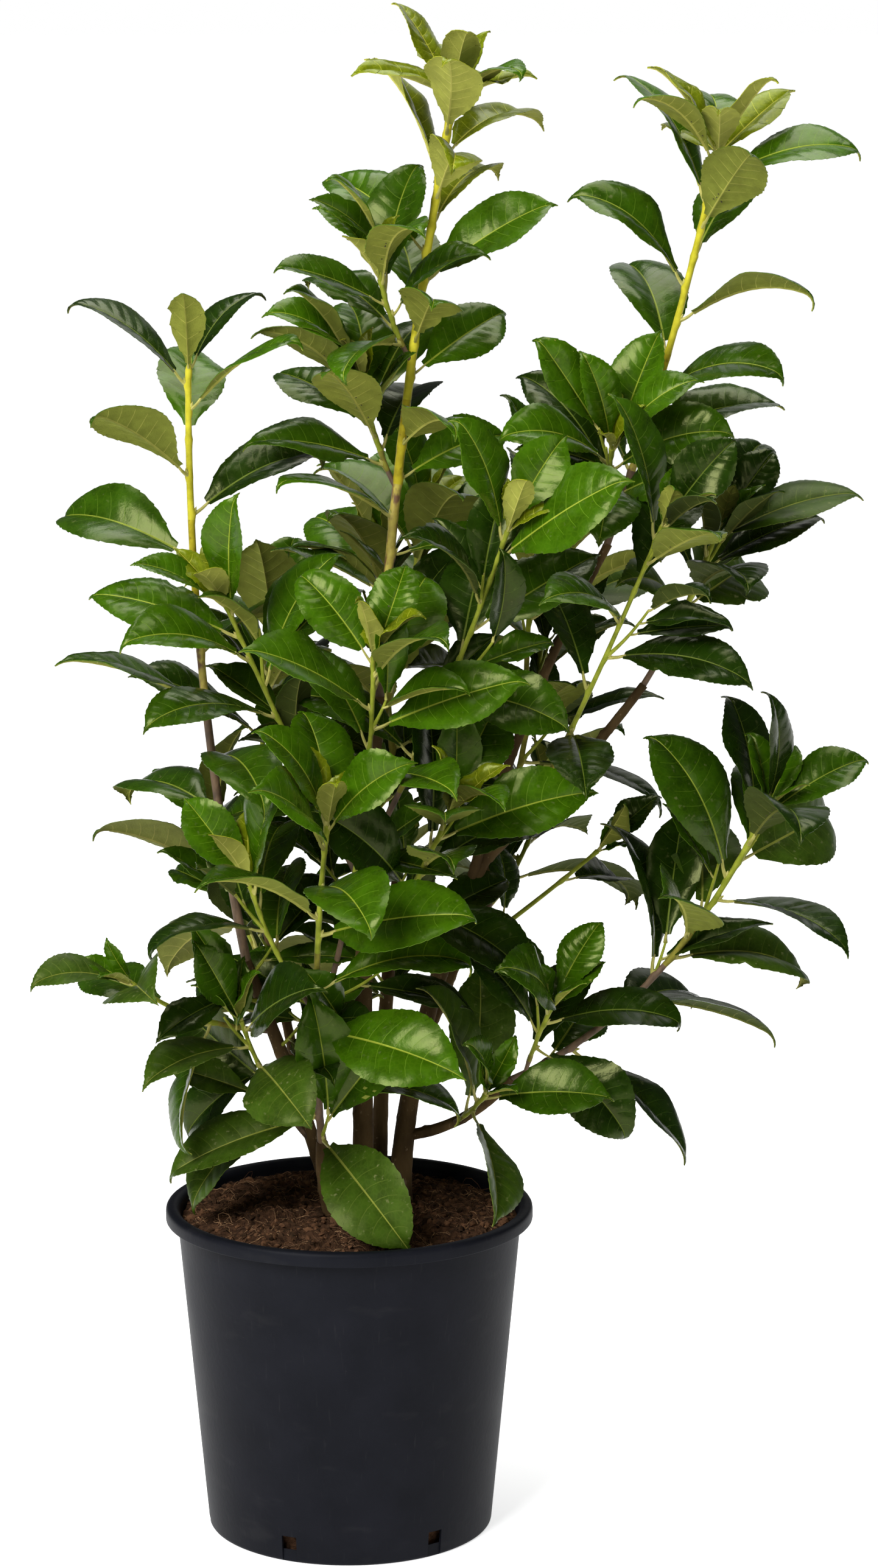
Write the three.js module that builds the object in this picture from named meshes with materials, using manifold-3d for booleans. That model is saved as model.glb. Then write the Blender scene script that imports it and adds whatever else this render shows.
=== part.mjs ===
// A potted cherry laurel: a nursery pot filled with compost, the stems that rise from it,
// the boughs on those stems, and the leafy shoots that make up the crown.
// Millimetres. +Z is up, +X is the viewer's right and +Y points away from the viewer.
// The origin is the centre of the pot's flat underside.
import * as THREE from 'three';
import { mergeVertices } from 'three/addons/utils/BufferGeometryUtils.js';
import Module from 'manifold-3d';

const wasm = await Module();
wasm.setup();

// The gap that every piece keeps to the piece that carries it
const CLEAR = 0.3;

// A twelve-litre nursery pot with a rolled rim and six drainage holes at its foot
const POT = {
  height: 255,
  baseRadius: 110,
  bodyTopRadius: 132.7,
  rimRadius: 141.7,
  rimDrop: 11,
  rimCrest: 3,
  wall: 2,
  lip: 1,
  floor: 3,
  footBevel: 2,
  sides: 48,
};
const DRAIN = {
  count: 6,
  firstAngle: -23.6,
  width: 12,
  sill: 10,
  top: 21,
  recess: 1,
  cutDepth: 20,
  cutBelow: 1,
};

// The compost: flat where the stems stand and a little lower at the wall
const COMPOST = {
  level: 248,
  flatRadius: 92,
  edgeDrop: 4,
};

// Bare wood. A stem has a base on the compost; a bough leaves another limb, at a share of its
// length. The bow shifts the middle of the limb's curve off the straight line to its tip.
const LIMBS = [
  { name: 'trunk_middle', base: [12, 4], tip: [24, 4, 650], bow: [-12, 0, 0], radii: [8.5, 4.6] },
  { name: 'stem_left', base: [-12, 12], tip: [-78, -15, 449], bow: [8, 0, -12], radii: [6.2, 4.4] },
  { name: 'stem_front', base: [-12, -20], tip: [-20, -34, 312], bow: [-6, 0, 0], radii: [5.6, 4.4] },
  { name: 'stem_right', base: [38, 10], tip: [107, 42, 524], bow: [-30, -4, 0], radii: [8.5, 5.2] },
  { name: 'stem_back', base: [22, 40], tip: [40, 112, 520], bow: [-8, -20, 0], radii: [6.5, 4.2] },
  { name: 'bough_right', on: 'stem_right', at: 0.97,
    tip: [227, 60, 650], bow: [6, 0, -8], radii: [4.4, 3.4] },
  { name: 'bough_right_leader', on: 'stem_right', at: 0.84,
    tip: [198, 35, 762], bow: [-14, 0, 14], radii: [4, 3.2] },
  { name: 'bough_low_right', on: 'stem_right', at: 0.2,
    tip: [125, 5, 352], bow: [10, 0, -16], radii: [4.6, 3.8] },
  { name: 'bough_left_fork', on: 'trunk_middle', at: 0.2,
    tip: [-14, -14, 431], bow: [-10, 0, 8], radii: [3.8, 3] },
  { name: 'bough_back_left', on: 'stem_left', at: 0.3,
    tip: [-72, 92, 480], bow: [0, 14, -10], radii: [4.2, 3.4] },
  { name: 'bough_back_right', on: 'stem_right', at: 0.42,
    tip: [124, 130, 530], bow: [0, 14, -16], radii: [4.4, 3.4] },
];

// Leafy shoots. A shoot that starts on a limb is a foliage mass; one that joins another shoot
// is a side twig of that mass. Turn is the compass direction of its top leaf, in degrees from +X
// towards +Y, leaf is the length of a full-grown blade, bare is the share of the twig below its
// lowest leaf. Where they are given, lift stands in for the usual LIFT, light for the usual LIGHT, and
// spread, the lean of the top leaf in degrees, for the usual tipLean.
const SHOOTS = [
  { name: 'mass_middle_leader', on: 'trunk_middle', at: 0.985, tip: [80, 0, 1098], bow: [-14, 0, 0],
    leaves: 20, leaf: 100, turn: 180, spread: 30, light: [0, -0.2, 0.3], bare: 0.12, radii: [4.4, 3.2] },
  { name: 'middle_side_high', joins: 'mass_middle_leader', at: 0.57, tip: [26, -25, 965], bow: [-4, 0, -4],
    leaves: 7, leaf: 92, turn: 150, bare: 0.25, radii: [2.4, 2] },
  { name: 'middle_side_low', joins: 'mass_middle_leader', at: 0.36, tip: [13, 10, 885], bow: [-6, 0, -4],
    leaves: 9, leaf: 104, turn: 170, bare: 0.25, radii: [2.6, 2] },
  { name: 'mass_left_leader', on: 'stem_left', at: 0.985, tip: [-116, -30, 899], bow: [-24, 0, 0],
    leaves: 12, leaf: 116, turn: 45, spread: 34, light: [0, -0.2, 0.3], bare: 0.26, radii: [4.2, 2.6] },
  { name: 'mass_left_middle', on: 'trunk_middle', at: 0.62, tip: [-88, -54, 726], bow: [0, 0, -10],
    leaves: 9, leaf: 104, turn: 190, bare: 0.3, radii: [3, 2] },
  { name: 'mass_left_low', on: 'stem_left', at: 0.74, tip: [-160, -58, 440], bow: [-12, 0, -14],
    leaves: 4, leaf: 100, turn: 200, lift: 0.1, light: [0, -0.1, 1], bare: 0.4, radii: [2.8, 2] },
  { name: 'mass_left_foot', on: 'stem_left', at: 0.28, tip: [-80, -50, 410], bow: [-10, 0, -8],
    leaves: 6, leaf: 104, turn: 250, bare: 0.35, radii: [2.8, 2] },
  { name: 'mass_front', on: 'stem_front', at: 0.97, tip: [-13, -105, 570], bow: [-12, 0, 0],
    leaves: 20, leaf: 122, turn: 190, bare: 0.02, radii: [4, 2.3] },
  { name: 'front_side', joins: 'mass_front', at: 0.42, tip: [-72, -62, 516], bow: [-8, 0, -8],
    leaves: 6, leaf: 106, turn: 170, bare: 0.35, radii: [2.4, 2] },
  { name: 'mass_front_centre', on: 'bough_left_fork', at: 0.97, tip: [21, -92, 694], bow: [16, 0, 0],
    leaves: 13, leaf: 106, turn: 20, bare: 0.25, radii: [2.9, 2] },
  { name: 'mass_centre_right', on: 'trunk_middle', at: 0.7, tip: [119, -75, 784], bow: [12, 0, 0],
    leaves: 10, leaf: 106, turn: 40, bare: 0.3, radii: [3, 2] },
  { name: 'mass_front_low', on: 'trunk_middle', at: 0.5, tip: [76, -78, 574], bow: [4, 0, -12],
    leaves: 10, leaf: 112, turn: 300, bare: 0.3, radii: [3, 2] },
  { name: 'mass_right_inner', on: 'bough_right', at: 0.24, tip: [232, -80, 788], bow: [0, -16, -10],
    leaves: 8, leaf: 106, turn: 20, bare: 0.35, radii: [2.9, 2] },
  { name: 'mass_right_leader', on: 'bough_right_leader', at: 0.98, tip: [277, 20, 1056], bow: [10, 0, 0],
    leaves: 12, leaf: 112, turn: 90, spread: 34, light: [0, -0.2, 0.3], bare: 0.2, radii: [3.2, 2.8] },
  { name: 'right_side', joins: 'mass_right_leader', at: 0.1, tip: [198, -8, 838], bow: [-6, 0, 0],
    leaves: 8, leaf: 98, turn: 150, light: [0, -0.2, 0.3], bare: 0.25, radii: [2.3, 2] },
  { name: 'mass_right_bough', on: 'bough_right', at: 0.98, tip: [282, 52, 772], bow: [6, 0, -6],
    leaves: 10, leaf: 102, turn: 45, bare: 0.45, radii: [3.2, 2] },
  { name: 'mass_low_right', on: 'bough_low_right', at: 0.98, tip: [317, -10, 565], bow: [22, 0, -53],
    leaves: 16, leaf: 116, turn: 225, lift: 0.7, bare: 0.12, radii: [3.6, 2.6] },
  { name: 'low_right_side', joins: 'mass_low_right', at: 0.05, tip: [154, -34, 416], bow: [-4, 0, -4],
    leaves: 6, leaf: 96, turn: 90, bare: 0.25, radii: [2.3, 2] },
  { name: 'mass_right_foot', on: 'bough_low_right', at: 0.4, tip: [104, -40, 350], bow: [0, -6, -4],
    leaves: 5, leaf: 100, turn: 220, bare: 0.4, radii: [2.4, 2] },
  { name: 'mass_right_middle', on: 'stem_right', at: 0.66, tip: [192, 74, 516], bow: [0, 0, -4],
    leaves: 3, leaf: 80, turn: 300, bare: 0.4, radii: [2.8, 2] },
  { name: 'mass_back_top', on: 'trunk_middle', at: 0.86, tip: [58, 104, 775], bow: [0, 14, -12],
    leaves: 11, leaf: 108, turn: 90, bare: 0.2, radii: [3, 2] },
  { name: 'mass_back_left', on: 'bough_back_left', at: 0.98, tip: [-60, 116, 675], bow: [-10, 16, 0],
    leaves: 12, leaf: 108, turn: 100, bare: 0.1, radii: [3.2, 2] },
  { name: 'mass_back_left_low', on: 'bough_back_left', at: 0.6, tip: [-112, 150, 520], bow: [-6, 10, -16],
    leaves: 7, leaf: 106, turn: 160, bare: 0.3, radii: [2.9, 2] },
  { name: 'mass_back', on: 'stem_back', at: 0.98, tip: [24, 176, 740], bow: [-6, 14, 0],
    leaves: 13, leaf: 108, turn: 80, bare: 0.12, radii: [3.8, 2] },
  { name: 'mass_back_low', on: 'stem_back', at: 0.6, tip: [-8, 214, 530], bow: [0, 10, -18],
    leaves: 9, leaf: 106, turn: 110, bare: 0.3, radii: [3, 2] },
  { name: 'mass_back_right', on: 'bough_back_right', at: 0.98, tip: [162, 178, 740], bow: [6, 10, 0],
    leaves: 12, leaf: 108, turn: 60, bare: 0.12, radii: [3.2, 2] },
  { name: 'mass_back_right_low', on: 'bough_back_right', at: 0.6, tip: [150, 190, 530], bow: [10, 10, -18],
    leaves: 7, leaf: 106, turn: 30, bare: 0.3, radii: [2.9, 2] },
  { name: 'mass_right_back', on: 'bough_right_leader', at: 0.5, tip: [148, 128, 780], bow: [-6, 14, -8],
    leaves: 10, leaf: 106, turn: 100, bare: 0.25, radii: [2.9, 2] },
];

// One leaf: a stalk and a folded, arching blade. Its midrib runs in equal steps, and each station
// is a step of it with the share of the half width there. Rib thickness and half width are shares
// of the blade's length; fold, arch and lean are degrees. The top leaf is shorter than the rest,
// and the spacing power crowds the leaves towards the tip.
const LEAF = {
  stalk: 14,
  stalkRadius: 1.2,
  rootRadius: 0.6,
  ribThickness: 0.02,
  ribSteps: 12,
  ribPower: 1.5,
  stations: [[4, 0.9], [8, 0.88]],
  halfWidth: [0.235, 0.285],
  fold: [8, 22],
  arch: [22, 74],
  tipLean: 18,
  baseLean: 56,
  leanPower: 0.55,
  tipLength: 0.7,
  growthRate: 5,
  spacing: 1.45,
};
// Low leaves hang more and turn their faces outwards; this fades out towards the top of the crown
const SHADE = { height: 900, sag: 0.62, outward: 0.8 };
// Every leaf turns a little towards the side that the light came from
const LIGHT = new THREE.Vector3(0, -0.6, 0.8);
// Leaves on a leaning shoot rise towards the upright by this much
const LIFT = 0.9;
// The share of a twig where its top leaf stands, and the turn from one leaf to the next
const TOP_LEAF = 0.996;
const GOLDEN_TURN = 137.5;
const JITTER = { turn: 14, lean: 9, roll: 30, length: 0.1 };
// A leaf that would touch something is turned by each of these angles before it is given up
const TRIES = [0, 28, -28, 56, -56];
// How far around a leaf nothing else may come
const LEAF_MARGIN = 0.8;

// How finely limbs and twigs are turned, and the swelling where a stem meets the compost
const LIMB_SIDES = 7;
const LIMB_STEP = 36;
const TWIG_SIDES = 4;
const TWIG_STEP = 70;
const FEWEST_STEPS = 4;
const FLARE = { share: 0.38, height: 16 };

// Points closer than this are one point
const SAME_POINT = 1e-4;

const UP = new THREE.Vector3(0, 0, 1);
const RIGHT = new THREE.Vector3(1, 0, 0);
const radians = THREE.MathUtils.degToRad;
const lerp = THREE.MathUtils.lerp;

// Seeded dice: each call gives the next share from 0 to 1
function diceFor(seed) {
  let state = Math.imul(seed, 2654435761) >>> 0;
  return () => {
    state = (Math.imul(state, 1664525) + 1013904223) >>> 0;
    return state / 4294967296;
  };
}

// A closed solid from any closed three.js geometry
function solidOf(geometry) {
  const bare = geometry.clone();
  bare.deleteAttribute('normal');
  bare.deleteAttribute('uv');
  const merged = mergeVertices(bare, SAME_POINT);
  const vertProperties = new Float32Array(merged.attributes.position.array);
  const triVerts = new Uint32Array(merged.index.array);
  return new wasm.Manifold(new wasm.Mesh({ numProp: 3, vertProperties, triVerts }));
}

// A geometry from a solid's largest body, without loose scraps
function geometryOf(solid) {
  const bodies = solid.decompose();
  bodies.sort((a, b) => b.volume() - a.volume());
  const mesh = bodies[0].getMesh();
  const geometry = new THREE.BufferGeometry();
  geometry.setAttribute('position', new THREE.BufferAttribute(mesh.vertProperties, 3));
  geometry.setIndex(new THREE.BufferAttribute(mesh.triVerts, 1));
  return geometry;
}

// A closed skin over rings of points; each ring runs anticlockwise about the way it travels,
// and a last ring of one point is an apex
function loft(rings) {
  const points = rings.flat();
  const sides = rings[0].length;
  const faces = [];
  for (let k = 1; k < sides - 1; k += 1) {
    faces.push(0, k + 1, k);
  }
  for (let step = 0; step < rings.length - 1; step += 1) {
    const low = step * sides;
    const high = low + sides;
    const apex = rings[step + 1].length === 1;
    for (let k = 0; k < sides; k += 1) {
      const next = (k + 1) % sides;
      if (apex) {
        faces.push(low + k, low + next, high);
      } else {
        faces.push(low + k, low + next, high + next);
        faces.push(low + k, high + next, high + k);
      }
    }
  }
  const end = points.length - sides;
  if (rings[rings.length - 1].length === sides) {
    for (let k = 1; k < sides - 1; k += 1) {
      faces.push(end, end + k, end + k + 1);
    }
  }
  const geometry = new THREE.BufferGeometry();
  geometry.setFromPoints(points);
  geometry.setIndex(faces);
  return geometry;
}

// Two directions across a limb: the first is as near +X as it can be
function across(tangent) {
  const first = RIGHT.clone().addScaledVector(tangent, -RIGHT.dot(tangent)).normalize();
  const second = tangent.clone().cross(first);
  return [first, second];
}

function ringAround(centre, tangent, radius, sides) {
  const [first, second] = across(tangent);
  return Array.from({ length: sides }, (_, k) => {
    const angle = (2 * Math.PI * k) / sides;
    return centre.clone()
      .addScaledVector(first, radius * Math.cos(angle))
      .addScaledVector(second, radius * Math.sin(angle));
  });
}

// The curve of a limb or shoot from its start to its tip
function pathOf(start, tip, bow) {
  const control = start.clone().add(tip).multiplyScalar(0.5).add(new THREE.Vector3(...bow));
  return new THREE.QuadraticBezierCurve3(start, control, tip);
}

// A tapering limb along its curve; margin swells it all round, for cutting others clear
function limbSolid(limb, sides, stepLength, margin = 0) {
  const steps = Math.max(FEWEST_STEPS, Math.round(limb.path.getLength() / stepLength));
  const rings = [];
  for (let step = 0; step <= steps; step += 1) {
    const share = step / steps;
    const standing = limb.base && step === 0;
    const tangent = standing ? UP : limb.path.getTangent(share);
    const centre = limb.path.getPoint(share);
    if (step === 0) centre.addScaledVector(tangent, -margin);
    if (step === steps) centre.addScaledVector(tangent, margin);
    const rise = share * limb.path.getLength();
    const flare = limb.base ? 1 + FLARE.share * Math.exp(-rise / FLARE.height) : 1;
    const radius = lerp(limb.radii[0], limb.radii[1], share) * flare + margin;
    rings.push(ringAround(centre, tangent, radius, sides));
  }
  return solidOf(loft(rings));
}

// Where one leaf of a shoot stands and how it lies; index 0 is the top leaf
function leafPose(shoot, index, attempt) {
  const dice = diceFor(shoot.number * 1000 + index * 10 + attempt);
  const jitter = (size) => (2 * dice() - 1) * size;
  const age = index / Math.max(1, shoot.leaves - 1);
  const place = TOP_LEAF - (TOP_LEAF - shoot.bare) * age ** LEAF.spacing;
  const root = shoot.path.getPoint(place);
  const tangent = shoot.path.getTangent(place);
  const shade = Math.max(0, 1 - root.z / SHADE.height);
  const [first, second] = across(tangent);
  const turn = radians(shoot.turn + GOLDEN_TURN * index + jitter(JITTER.turn) + TRIES[attempt]);
  const topLean = shoot.spread ?? LEAF.tipLean;
  const lean = radians(lerp(topLean, LEAF.baseLean, age ** LEAF.leanPower) + jitter(JITTER.lean));
  const outward = first.multiplyScalar(Math.cos(turn)).addScaledVector(second, Math.sin(turn));
  const along = tangent.clone().multiplyScalar(Math.cos(lean)).addScaledVector(outward, Math.sin(lean));
  along.z += (shoot.lift ?? LIFT) * (1 - tangent.z) - SHADE.sag * shade * (dice() + age);
  along.normalize();
  const open = new THREE.Vector3(root.x, root.y, 0).normalize();
  const light = shoot.light ? new THREE.Vector3(...shoot.light) : LIGHT;
  const facing = tangent.clone().add(light).addScaledVector(open, SHADE.outward * shade);
  const normal = facing.addScaledVector(along, -facing.dot(along)).normalize();
  normal.applyAxisAngle(along, radians(jitter(JITTER.roll)));
  const grown = lerp(LEAF.tipLength, 1, Math.min(1, age * LEAF.growthRate));
  return {
    root,
    along,
    normal,
    length: shoot.leaf * grown * (1 + jitter(JITTER.length)),
    arch: radians(lerp(LEAF.arch[0], LEAF.arch[1], dice())),
    fold: radians(lerp(LEAF.fold[0], LEAF.fold[1], dice())),
    width: lerp(LEAF.halfWidth[0], LEAF.halfWidth[1], dice()),
  };
}

// The four corners of a leaf's section: rib top, left edge, rib underside, right edge
function leafSection(centre, normal, side, halfWidth, fold, ribHalf) {
  const lift = halfWidth * Math.sin(fold);
  const spread = halfWidth * Math.cos(fold);
  return [
    centre.clone().addScaledVector(normal, ribHalf),
    centre.clone().addScaledVector(side, spread).addScaledVector(normal, lift),
    centre.clone().addScaledVector(normal, -ribHalf),
    centre.clone().addScaledVector(side, -spread).addScaledVector(normal, lift),
  ];
}

// A leaf from its pose, with or without its stalk; margin swells it all round
function leafSolid(pose, margin = 0, stalked = true) {
  const side = pose.along.clone().cross(pose.normal);
  const foot = pose.root.clone().addScaledVector(pose.along, LEAF.stalk);
  const ribHalf = (pose.length * LEAF.ribThickness) / 2 + margin;
  const stalk = LEAF.stalkRadius + margin;
  const rings = [];
  if (stalked) {
    const sunk = LEAF.rootRadius + margin;
    rings.push(leafSection(pose.root, pose.normal, side, sunk, 0, sunk));
  }
  rings.push(leafSection(foot, pose.normal, side, stalk, 0, stalk));
  const rib = midrib(pose, foot, pose.length + 2 * margin);
  for (const [step, wide] of LEAF.stations) {
    const halfWidth = pose.length * pose.width * wide + margin;
    rings.push(leafSection(rib[step].point, rib[step].normal, side, halfWidth, pose.fold, ribHalf));
  }
  rings.push([rib[LEAF.ribSteps].point]);
  return solidOf(loft(rings));
}

// The blade's midrib: straight at first, then bending over more and more towards its tip
function midrib(pose, foot, length) {
  const point = foot.clone();
  const rib = [{ point: point.clone(), normal: pose.normal }];
  for (let step = 1; step <= LEAF.ribSteps; step += 1) {
    const bend = pose.arch * ((step - 0.5) / LEAF.ribSteps) ** LEAF.ribPower;
    point.addScaledVector(pose.along, (Math.cos(bend) * length) / LEAF.ribSteps);
    point.addScaledVector(pose.normal, (-Math.sin(bend) * length) / LEAF.ribSteps);
    const end = pose.arch * (step / LEAF.ribSteps) ** LEAF.ribPower;
    const normal = pose.normal.clone().multiplyScalar(Math.cos(end));
    normal.addScaledVector(pose.along, Math.sin(end));
    rib.push({ point: point.clone(), normal });
  }
  return rib;
}

function boxesMeet(a, b) {
  return [0, 1, 2].every((k) => a.min[k] <= b.max[k] && b.min[k] <= a.max[k]);
}

function boxed(solid) {
  return { solid, box: solid.boundingBox() };
}

function touches(a, b) {
  return boxesMeet(a.box, b.box) && !a.solid.intersect(b.solid).isEmpty();
}

// Leaves of one shoot may share the room at their twig, so only their blades are held apart
function clashes(leaf, other) {
  if (leaf.owner !== other.owner) return touches(leaf.whole, other.whole);
  return Boolean(other.blade) && touches(leaf.blade, other.blade);
}

// The pot: one turned shell with a rolled rim, pierced by the drainage holes
function potSolid() {
  const { height, baseRadius, bodyTopRadius, rimRadius, rimDrop, rimCrest } = POT;
  const { wall, lip, floor, footBevel } = POT;
  const profile = [
    [0, 0],
    [baseRadius - footBevel, 0],
    [baseRadius, footBevel],
    [bodyTopRadius, height - rimDrop],
    [bodyTopRadius + lip, height - rimCrest],
    [rimRadius - wall, height - rimCrest],
    [rimRadius - wall, height - rimDrop],
    [rimRadius, height - rimDrop],
    [rimRadius, height - rimCrest],
    [rimRadius - rimCrest, height],
    [bodyTopRadius + lip, height],
    [bodyTopRadius - wall, height - rimCrest],
    [baseRadius - wall, floor],
    [0, floor],
  ];
  const shell = new THREE.LatheGeometry(profile.map(([r, z]) => new THREE.Vector2(r, z)), POT.sides);
  shell.rotateX(Math.PI / 2);
  let solid = solidOf(shell);
  for (let hole = 0; hole < DRAIN.count; hole += 1) {
    const angle = radians(DRAIN.firstAngle - 90 + (360 / DRAIN.count) * hole);
    solid = solid.subtract(drainSolid(angle));
  }
  return solid;
}

// One drainage hole through the wall, with the shallow recess that runs from it to the foot
function drainSolid(angle) {
  const { width, sill, top, recess, cutDepth, cutBelow } = DRAIN;
  const hole = new THREE.BoxGeometry(cutDepth, width, top - sill);
  hole.translate(POT.baseRadius, 0, (top + sill) / 2);
  const channel = new THREE.BoxGeometry(cutDepth, width, sill + 2 * cutBelow);
  channel.translate(POT.baseRadius - recess + cutDepth / 2, 0, sill / 2);
  const cutters = [hole, channel].map((box) => solidOf(box.rotateZ(angle)));
  return cutters[0].add(cutters[1]);
}

function innerRadius(z) {
  const share = (z - POT.floor) / (POT.height - POT.rimCrest - POT.floor);
  return lerp(POT.baseRadius, POT.bodyTopRadius, share) - POT.wall;
}

function compostSolid() {
  const bottom = POT.floor + CLEAR;
  const edge = COMPOST.level - COMPOST.edgeDrop;
  const profile = [
    [0, bottom],
    [innerRadius(bottom) - 2 * CLEAR, bottom],
    [innerRadius(edge) - 2 * CLEAR, edge],
    [COMPOST.flatRadius, COMPOST.level],
    [0, COMPOST.level],
  ];
  const plug = new THREE.LatheGeometry(profile.map(([r, z]) => new THREE.Vector2(r, z)), POT.sides);
  plug.rotateX(Math.PI / 2);
  return solidOf(plug);
}

// Every limb gets its curve, its solid and a swollen copy that others are cut clear of
function growLimbs() {
  const limbs = new Map();
  for (const spec of LIMBS) {
    const parent = spec.on && limbs.get(spec.on);
    const start = parent
      ? parent.path.getPoint(spec.at)
      : new THREE.Vector3(spec.base[0], spec.base[1], COMPOST.level + CLEAR);
    const limb = { ...spec, path: pathOf(start, new THREE.Vector3(...spec.tip), spec.bow) };
    limb.fat = limbSolid(limb, LIMB_SIDES, LIMB_STEP, CLEAR);
    limb.solid = limbSolid(limb, LIMB_SIDES, LIMB_STEP);
    if (parent) {
      for (const other of limbs.values()) {
        limb.solid = limb.solid.subtract(other.fat);
      }
    }
    limbs.set(limb.name, limb);
  }
  return limbs;
}

// Every shoot gets its curve and its twig; a mass's own twig is cut clear of the limbs
function growTwigs(limbs) {
  const shoots = new Map();
  SHOOTS.forEach((spec, order) => {
    const carrier = limbs.get(spec.on) ?? shoots.get(spec.joins);
    const start = carrier.path.getPoint(spec.at);
    const path = pathOf(start, new THREE.Vector3(...spec.tip), spec.bow);
    const shoot = { ...spec, number: order + 1, path, mass: spec.joins ?? spec.name };
    shoot.twig = limbSolid(shoot, TWIG_SIDES, TWIG_STEP);
    shoot.fat = limbSolid(shoot, TWIG_SIDES, TWIG_STEP, CLEAR);
    for (const limb of limbs.values()) {
      shoot.twig = shoot.twig.subtract(limb.fat);
    }
    shoots.set(shoot.name, shoot);
  });
  return shoots;
}

// Leaves are set from the tips down, so the crown's outline comes first
function growLeaves(shoots, obstacles) {
  const leaves = new Map();
  const most = Math.max(...SHOOTS.map((shoot) => shoot.leaves));
  for (let index = 0; index < most; index += 1) {
    for (const shoot of shoots.values()) {
      if (index >= shoot.leaves) continue;
      const leaf = placeLeaf(shoot, index, obstacles);
      if (leaf) leaves.set(shoot.mass, [...(leaves.get(shoot.mass) ?? []), leaf]);
    }
  }
  return leaves;
}

// The first try that touches nothing but its own twig, or no leaf at all
function placeLeaf(shoot, index, obstacles) {
  for (let attempt = 0; attempt < TRIES.length; attempt += 1) {
    const pose = leafPose(shoot, index, attempt);
    const leaf = {
      owner: shoot.name,
      whole: boxed(leafSolid(pose, LEAF_MARGIN)),
      blade: boxed(leafSolid(pose, LEAF_MARGIN, false)),
    };
    if (!obstacles.some((other) => clashes(leaf, other))) {
      obstacles.push(leaf);
      return leafSolid(pose);
    }
  }
  return null;
}

const FINISH = {
  pot: { color: 0x25272b, roughness: 0.5, metalness: 0 },
  compost: { color: 0x3b2a1f, roughness: 0.95, metalness: 0 },
  bark: { color: 0x5d4b39, roughness: 0.85, metalness: 0 },
  foliage: { color: 0x4f7030, roughness: 0.45, metalness: 0 },
};
const materials = Object.fromEntries(
  Object.entries(FINISH).map(([name, finish]) => [name, new THREE.MeshStandardMaterial(finish)]),
);

const laurel = new THREE.Group();

function addPart(name, solid, finish) {
  const mesh = new THREE.Mesh(geometryOf(solid), materials[finish]);
  mesh.name = name;
  laurel.add(mesh);
}

const pot = potSolid();
const compost = compostSolid();
const limbs = growLimbs();
const shoots = growTwigs(limbs);
const obstacles = [pot, compost].map((solid) => ({ whole: boxed(solid) }));
for (const wood of [...limbs.values(), ...shoots.values()]) {
  obstacles.push({ owner: wood.name, whole: boxed(wood.fat) });
}
const leaves = growLeaves(shoots, obstacles);

addPart('pot', pot, 'pot');
addPart('compost', compost, 'compost');
for (const limb of limbs.values()) {
  addPart(limb.name, limb.solid, 'bark');
}
for (const mass of SHOOTS.filter((shoot) => shoot.on)) {
  const twigs = [...shoots.values()].filter((shoot) => shoot.mass === mass.name);
  const pieces = [...twigs.map((shoot) => shoot.twig), ...(leaves.get(mass.name) ?? [])];
  addPart(mass.name, wasm.Manifold.union(pieces), 'foliage');
}

export default laurel;
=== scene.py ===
"""The looks of the potted cherry laurel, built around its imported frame.

Sizes are millimetres until a mesh is made, and angles are degrees where they are named. +Z is up, +X is the
viewer's right, +Y points away from the viewer, and the origin is the centre of the pot's underside.
"""
import math
from dataclasses import dataclass
from types import SimpleNamespace as Sizes

import bpy
import numpy as np
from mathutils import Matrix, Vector


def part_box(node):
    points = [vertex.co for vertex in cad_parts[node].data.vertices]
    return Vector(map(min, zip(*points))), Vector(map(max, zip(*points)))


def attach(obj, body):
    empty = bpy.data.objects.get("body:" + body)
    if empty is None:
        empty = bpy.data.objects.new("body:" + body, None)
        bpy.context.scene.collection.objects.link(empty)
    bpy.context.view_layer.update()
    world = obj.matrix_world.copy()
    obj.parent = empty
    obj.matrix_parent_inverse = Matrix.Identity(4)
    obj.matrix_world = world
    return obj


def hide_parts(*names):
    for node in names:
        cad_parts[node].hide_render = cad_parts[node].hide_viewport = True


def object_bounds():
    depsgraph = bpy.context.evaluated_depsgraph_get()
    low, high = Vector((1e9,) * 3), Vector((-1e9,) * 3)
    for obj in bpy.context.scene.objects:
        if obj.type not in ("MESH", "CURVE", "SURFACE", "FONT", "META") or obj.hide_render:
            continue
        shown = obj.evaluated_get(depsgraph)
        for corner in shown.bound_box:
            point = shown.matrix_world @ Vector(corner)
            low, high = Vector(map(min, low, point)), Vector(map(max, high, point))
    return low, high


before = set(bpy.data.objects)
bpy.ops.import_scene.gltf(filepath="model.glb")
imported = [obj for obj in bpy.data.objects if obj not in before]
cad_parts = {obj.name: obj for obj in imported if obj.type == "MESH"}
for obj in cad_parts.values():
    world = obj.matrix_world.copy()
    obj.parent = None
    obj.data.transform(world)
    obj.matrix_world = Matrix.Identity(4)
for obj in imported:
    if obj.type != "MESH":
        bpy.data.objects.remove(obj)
cad_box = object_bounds()

MM = 0.001
BODY = "root"

# The pot, its drainage holes and the compost, as in the part's source
POT = Sizes(height=255, base=110, body_top=132.7, rim=141.7, rim_drop=11, rim_crest=3, wall=2, lip=1, floor=3)
DRAIN = Sizes(count=6, first=-23.6, width=12, sill=10, top=21, recess=1, depth=20, below=1)
COMPOST = Sizes(level=248, flat=92, edge_drop=4, clear=0.6)
# The gap below a stem and below the compost, and the swelling of a stem's foot
CLEAR = 0.3
FLARE = Sizes(share=0.38, height=16)

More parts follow.
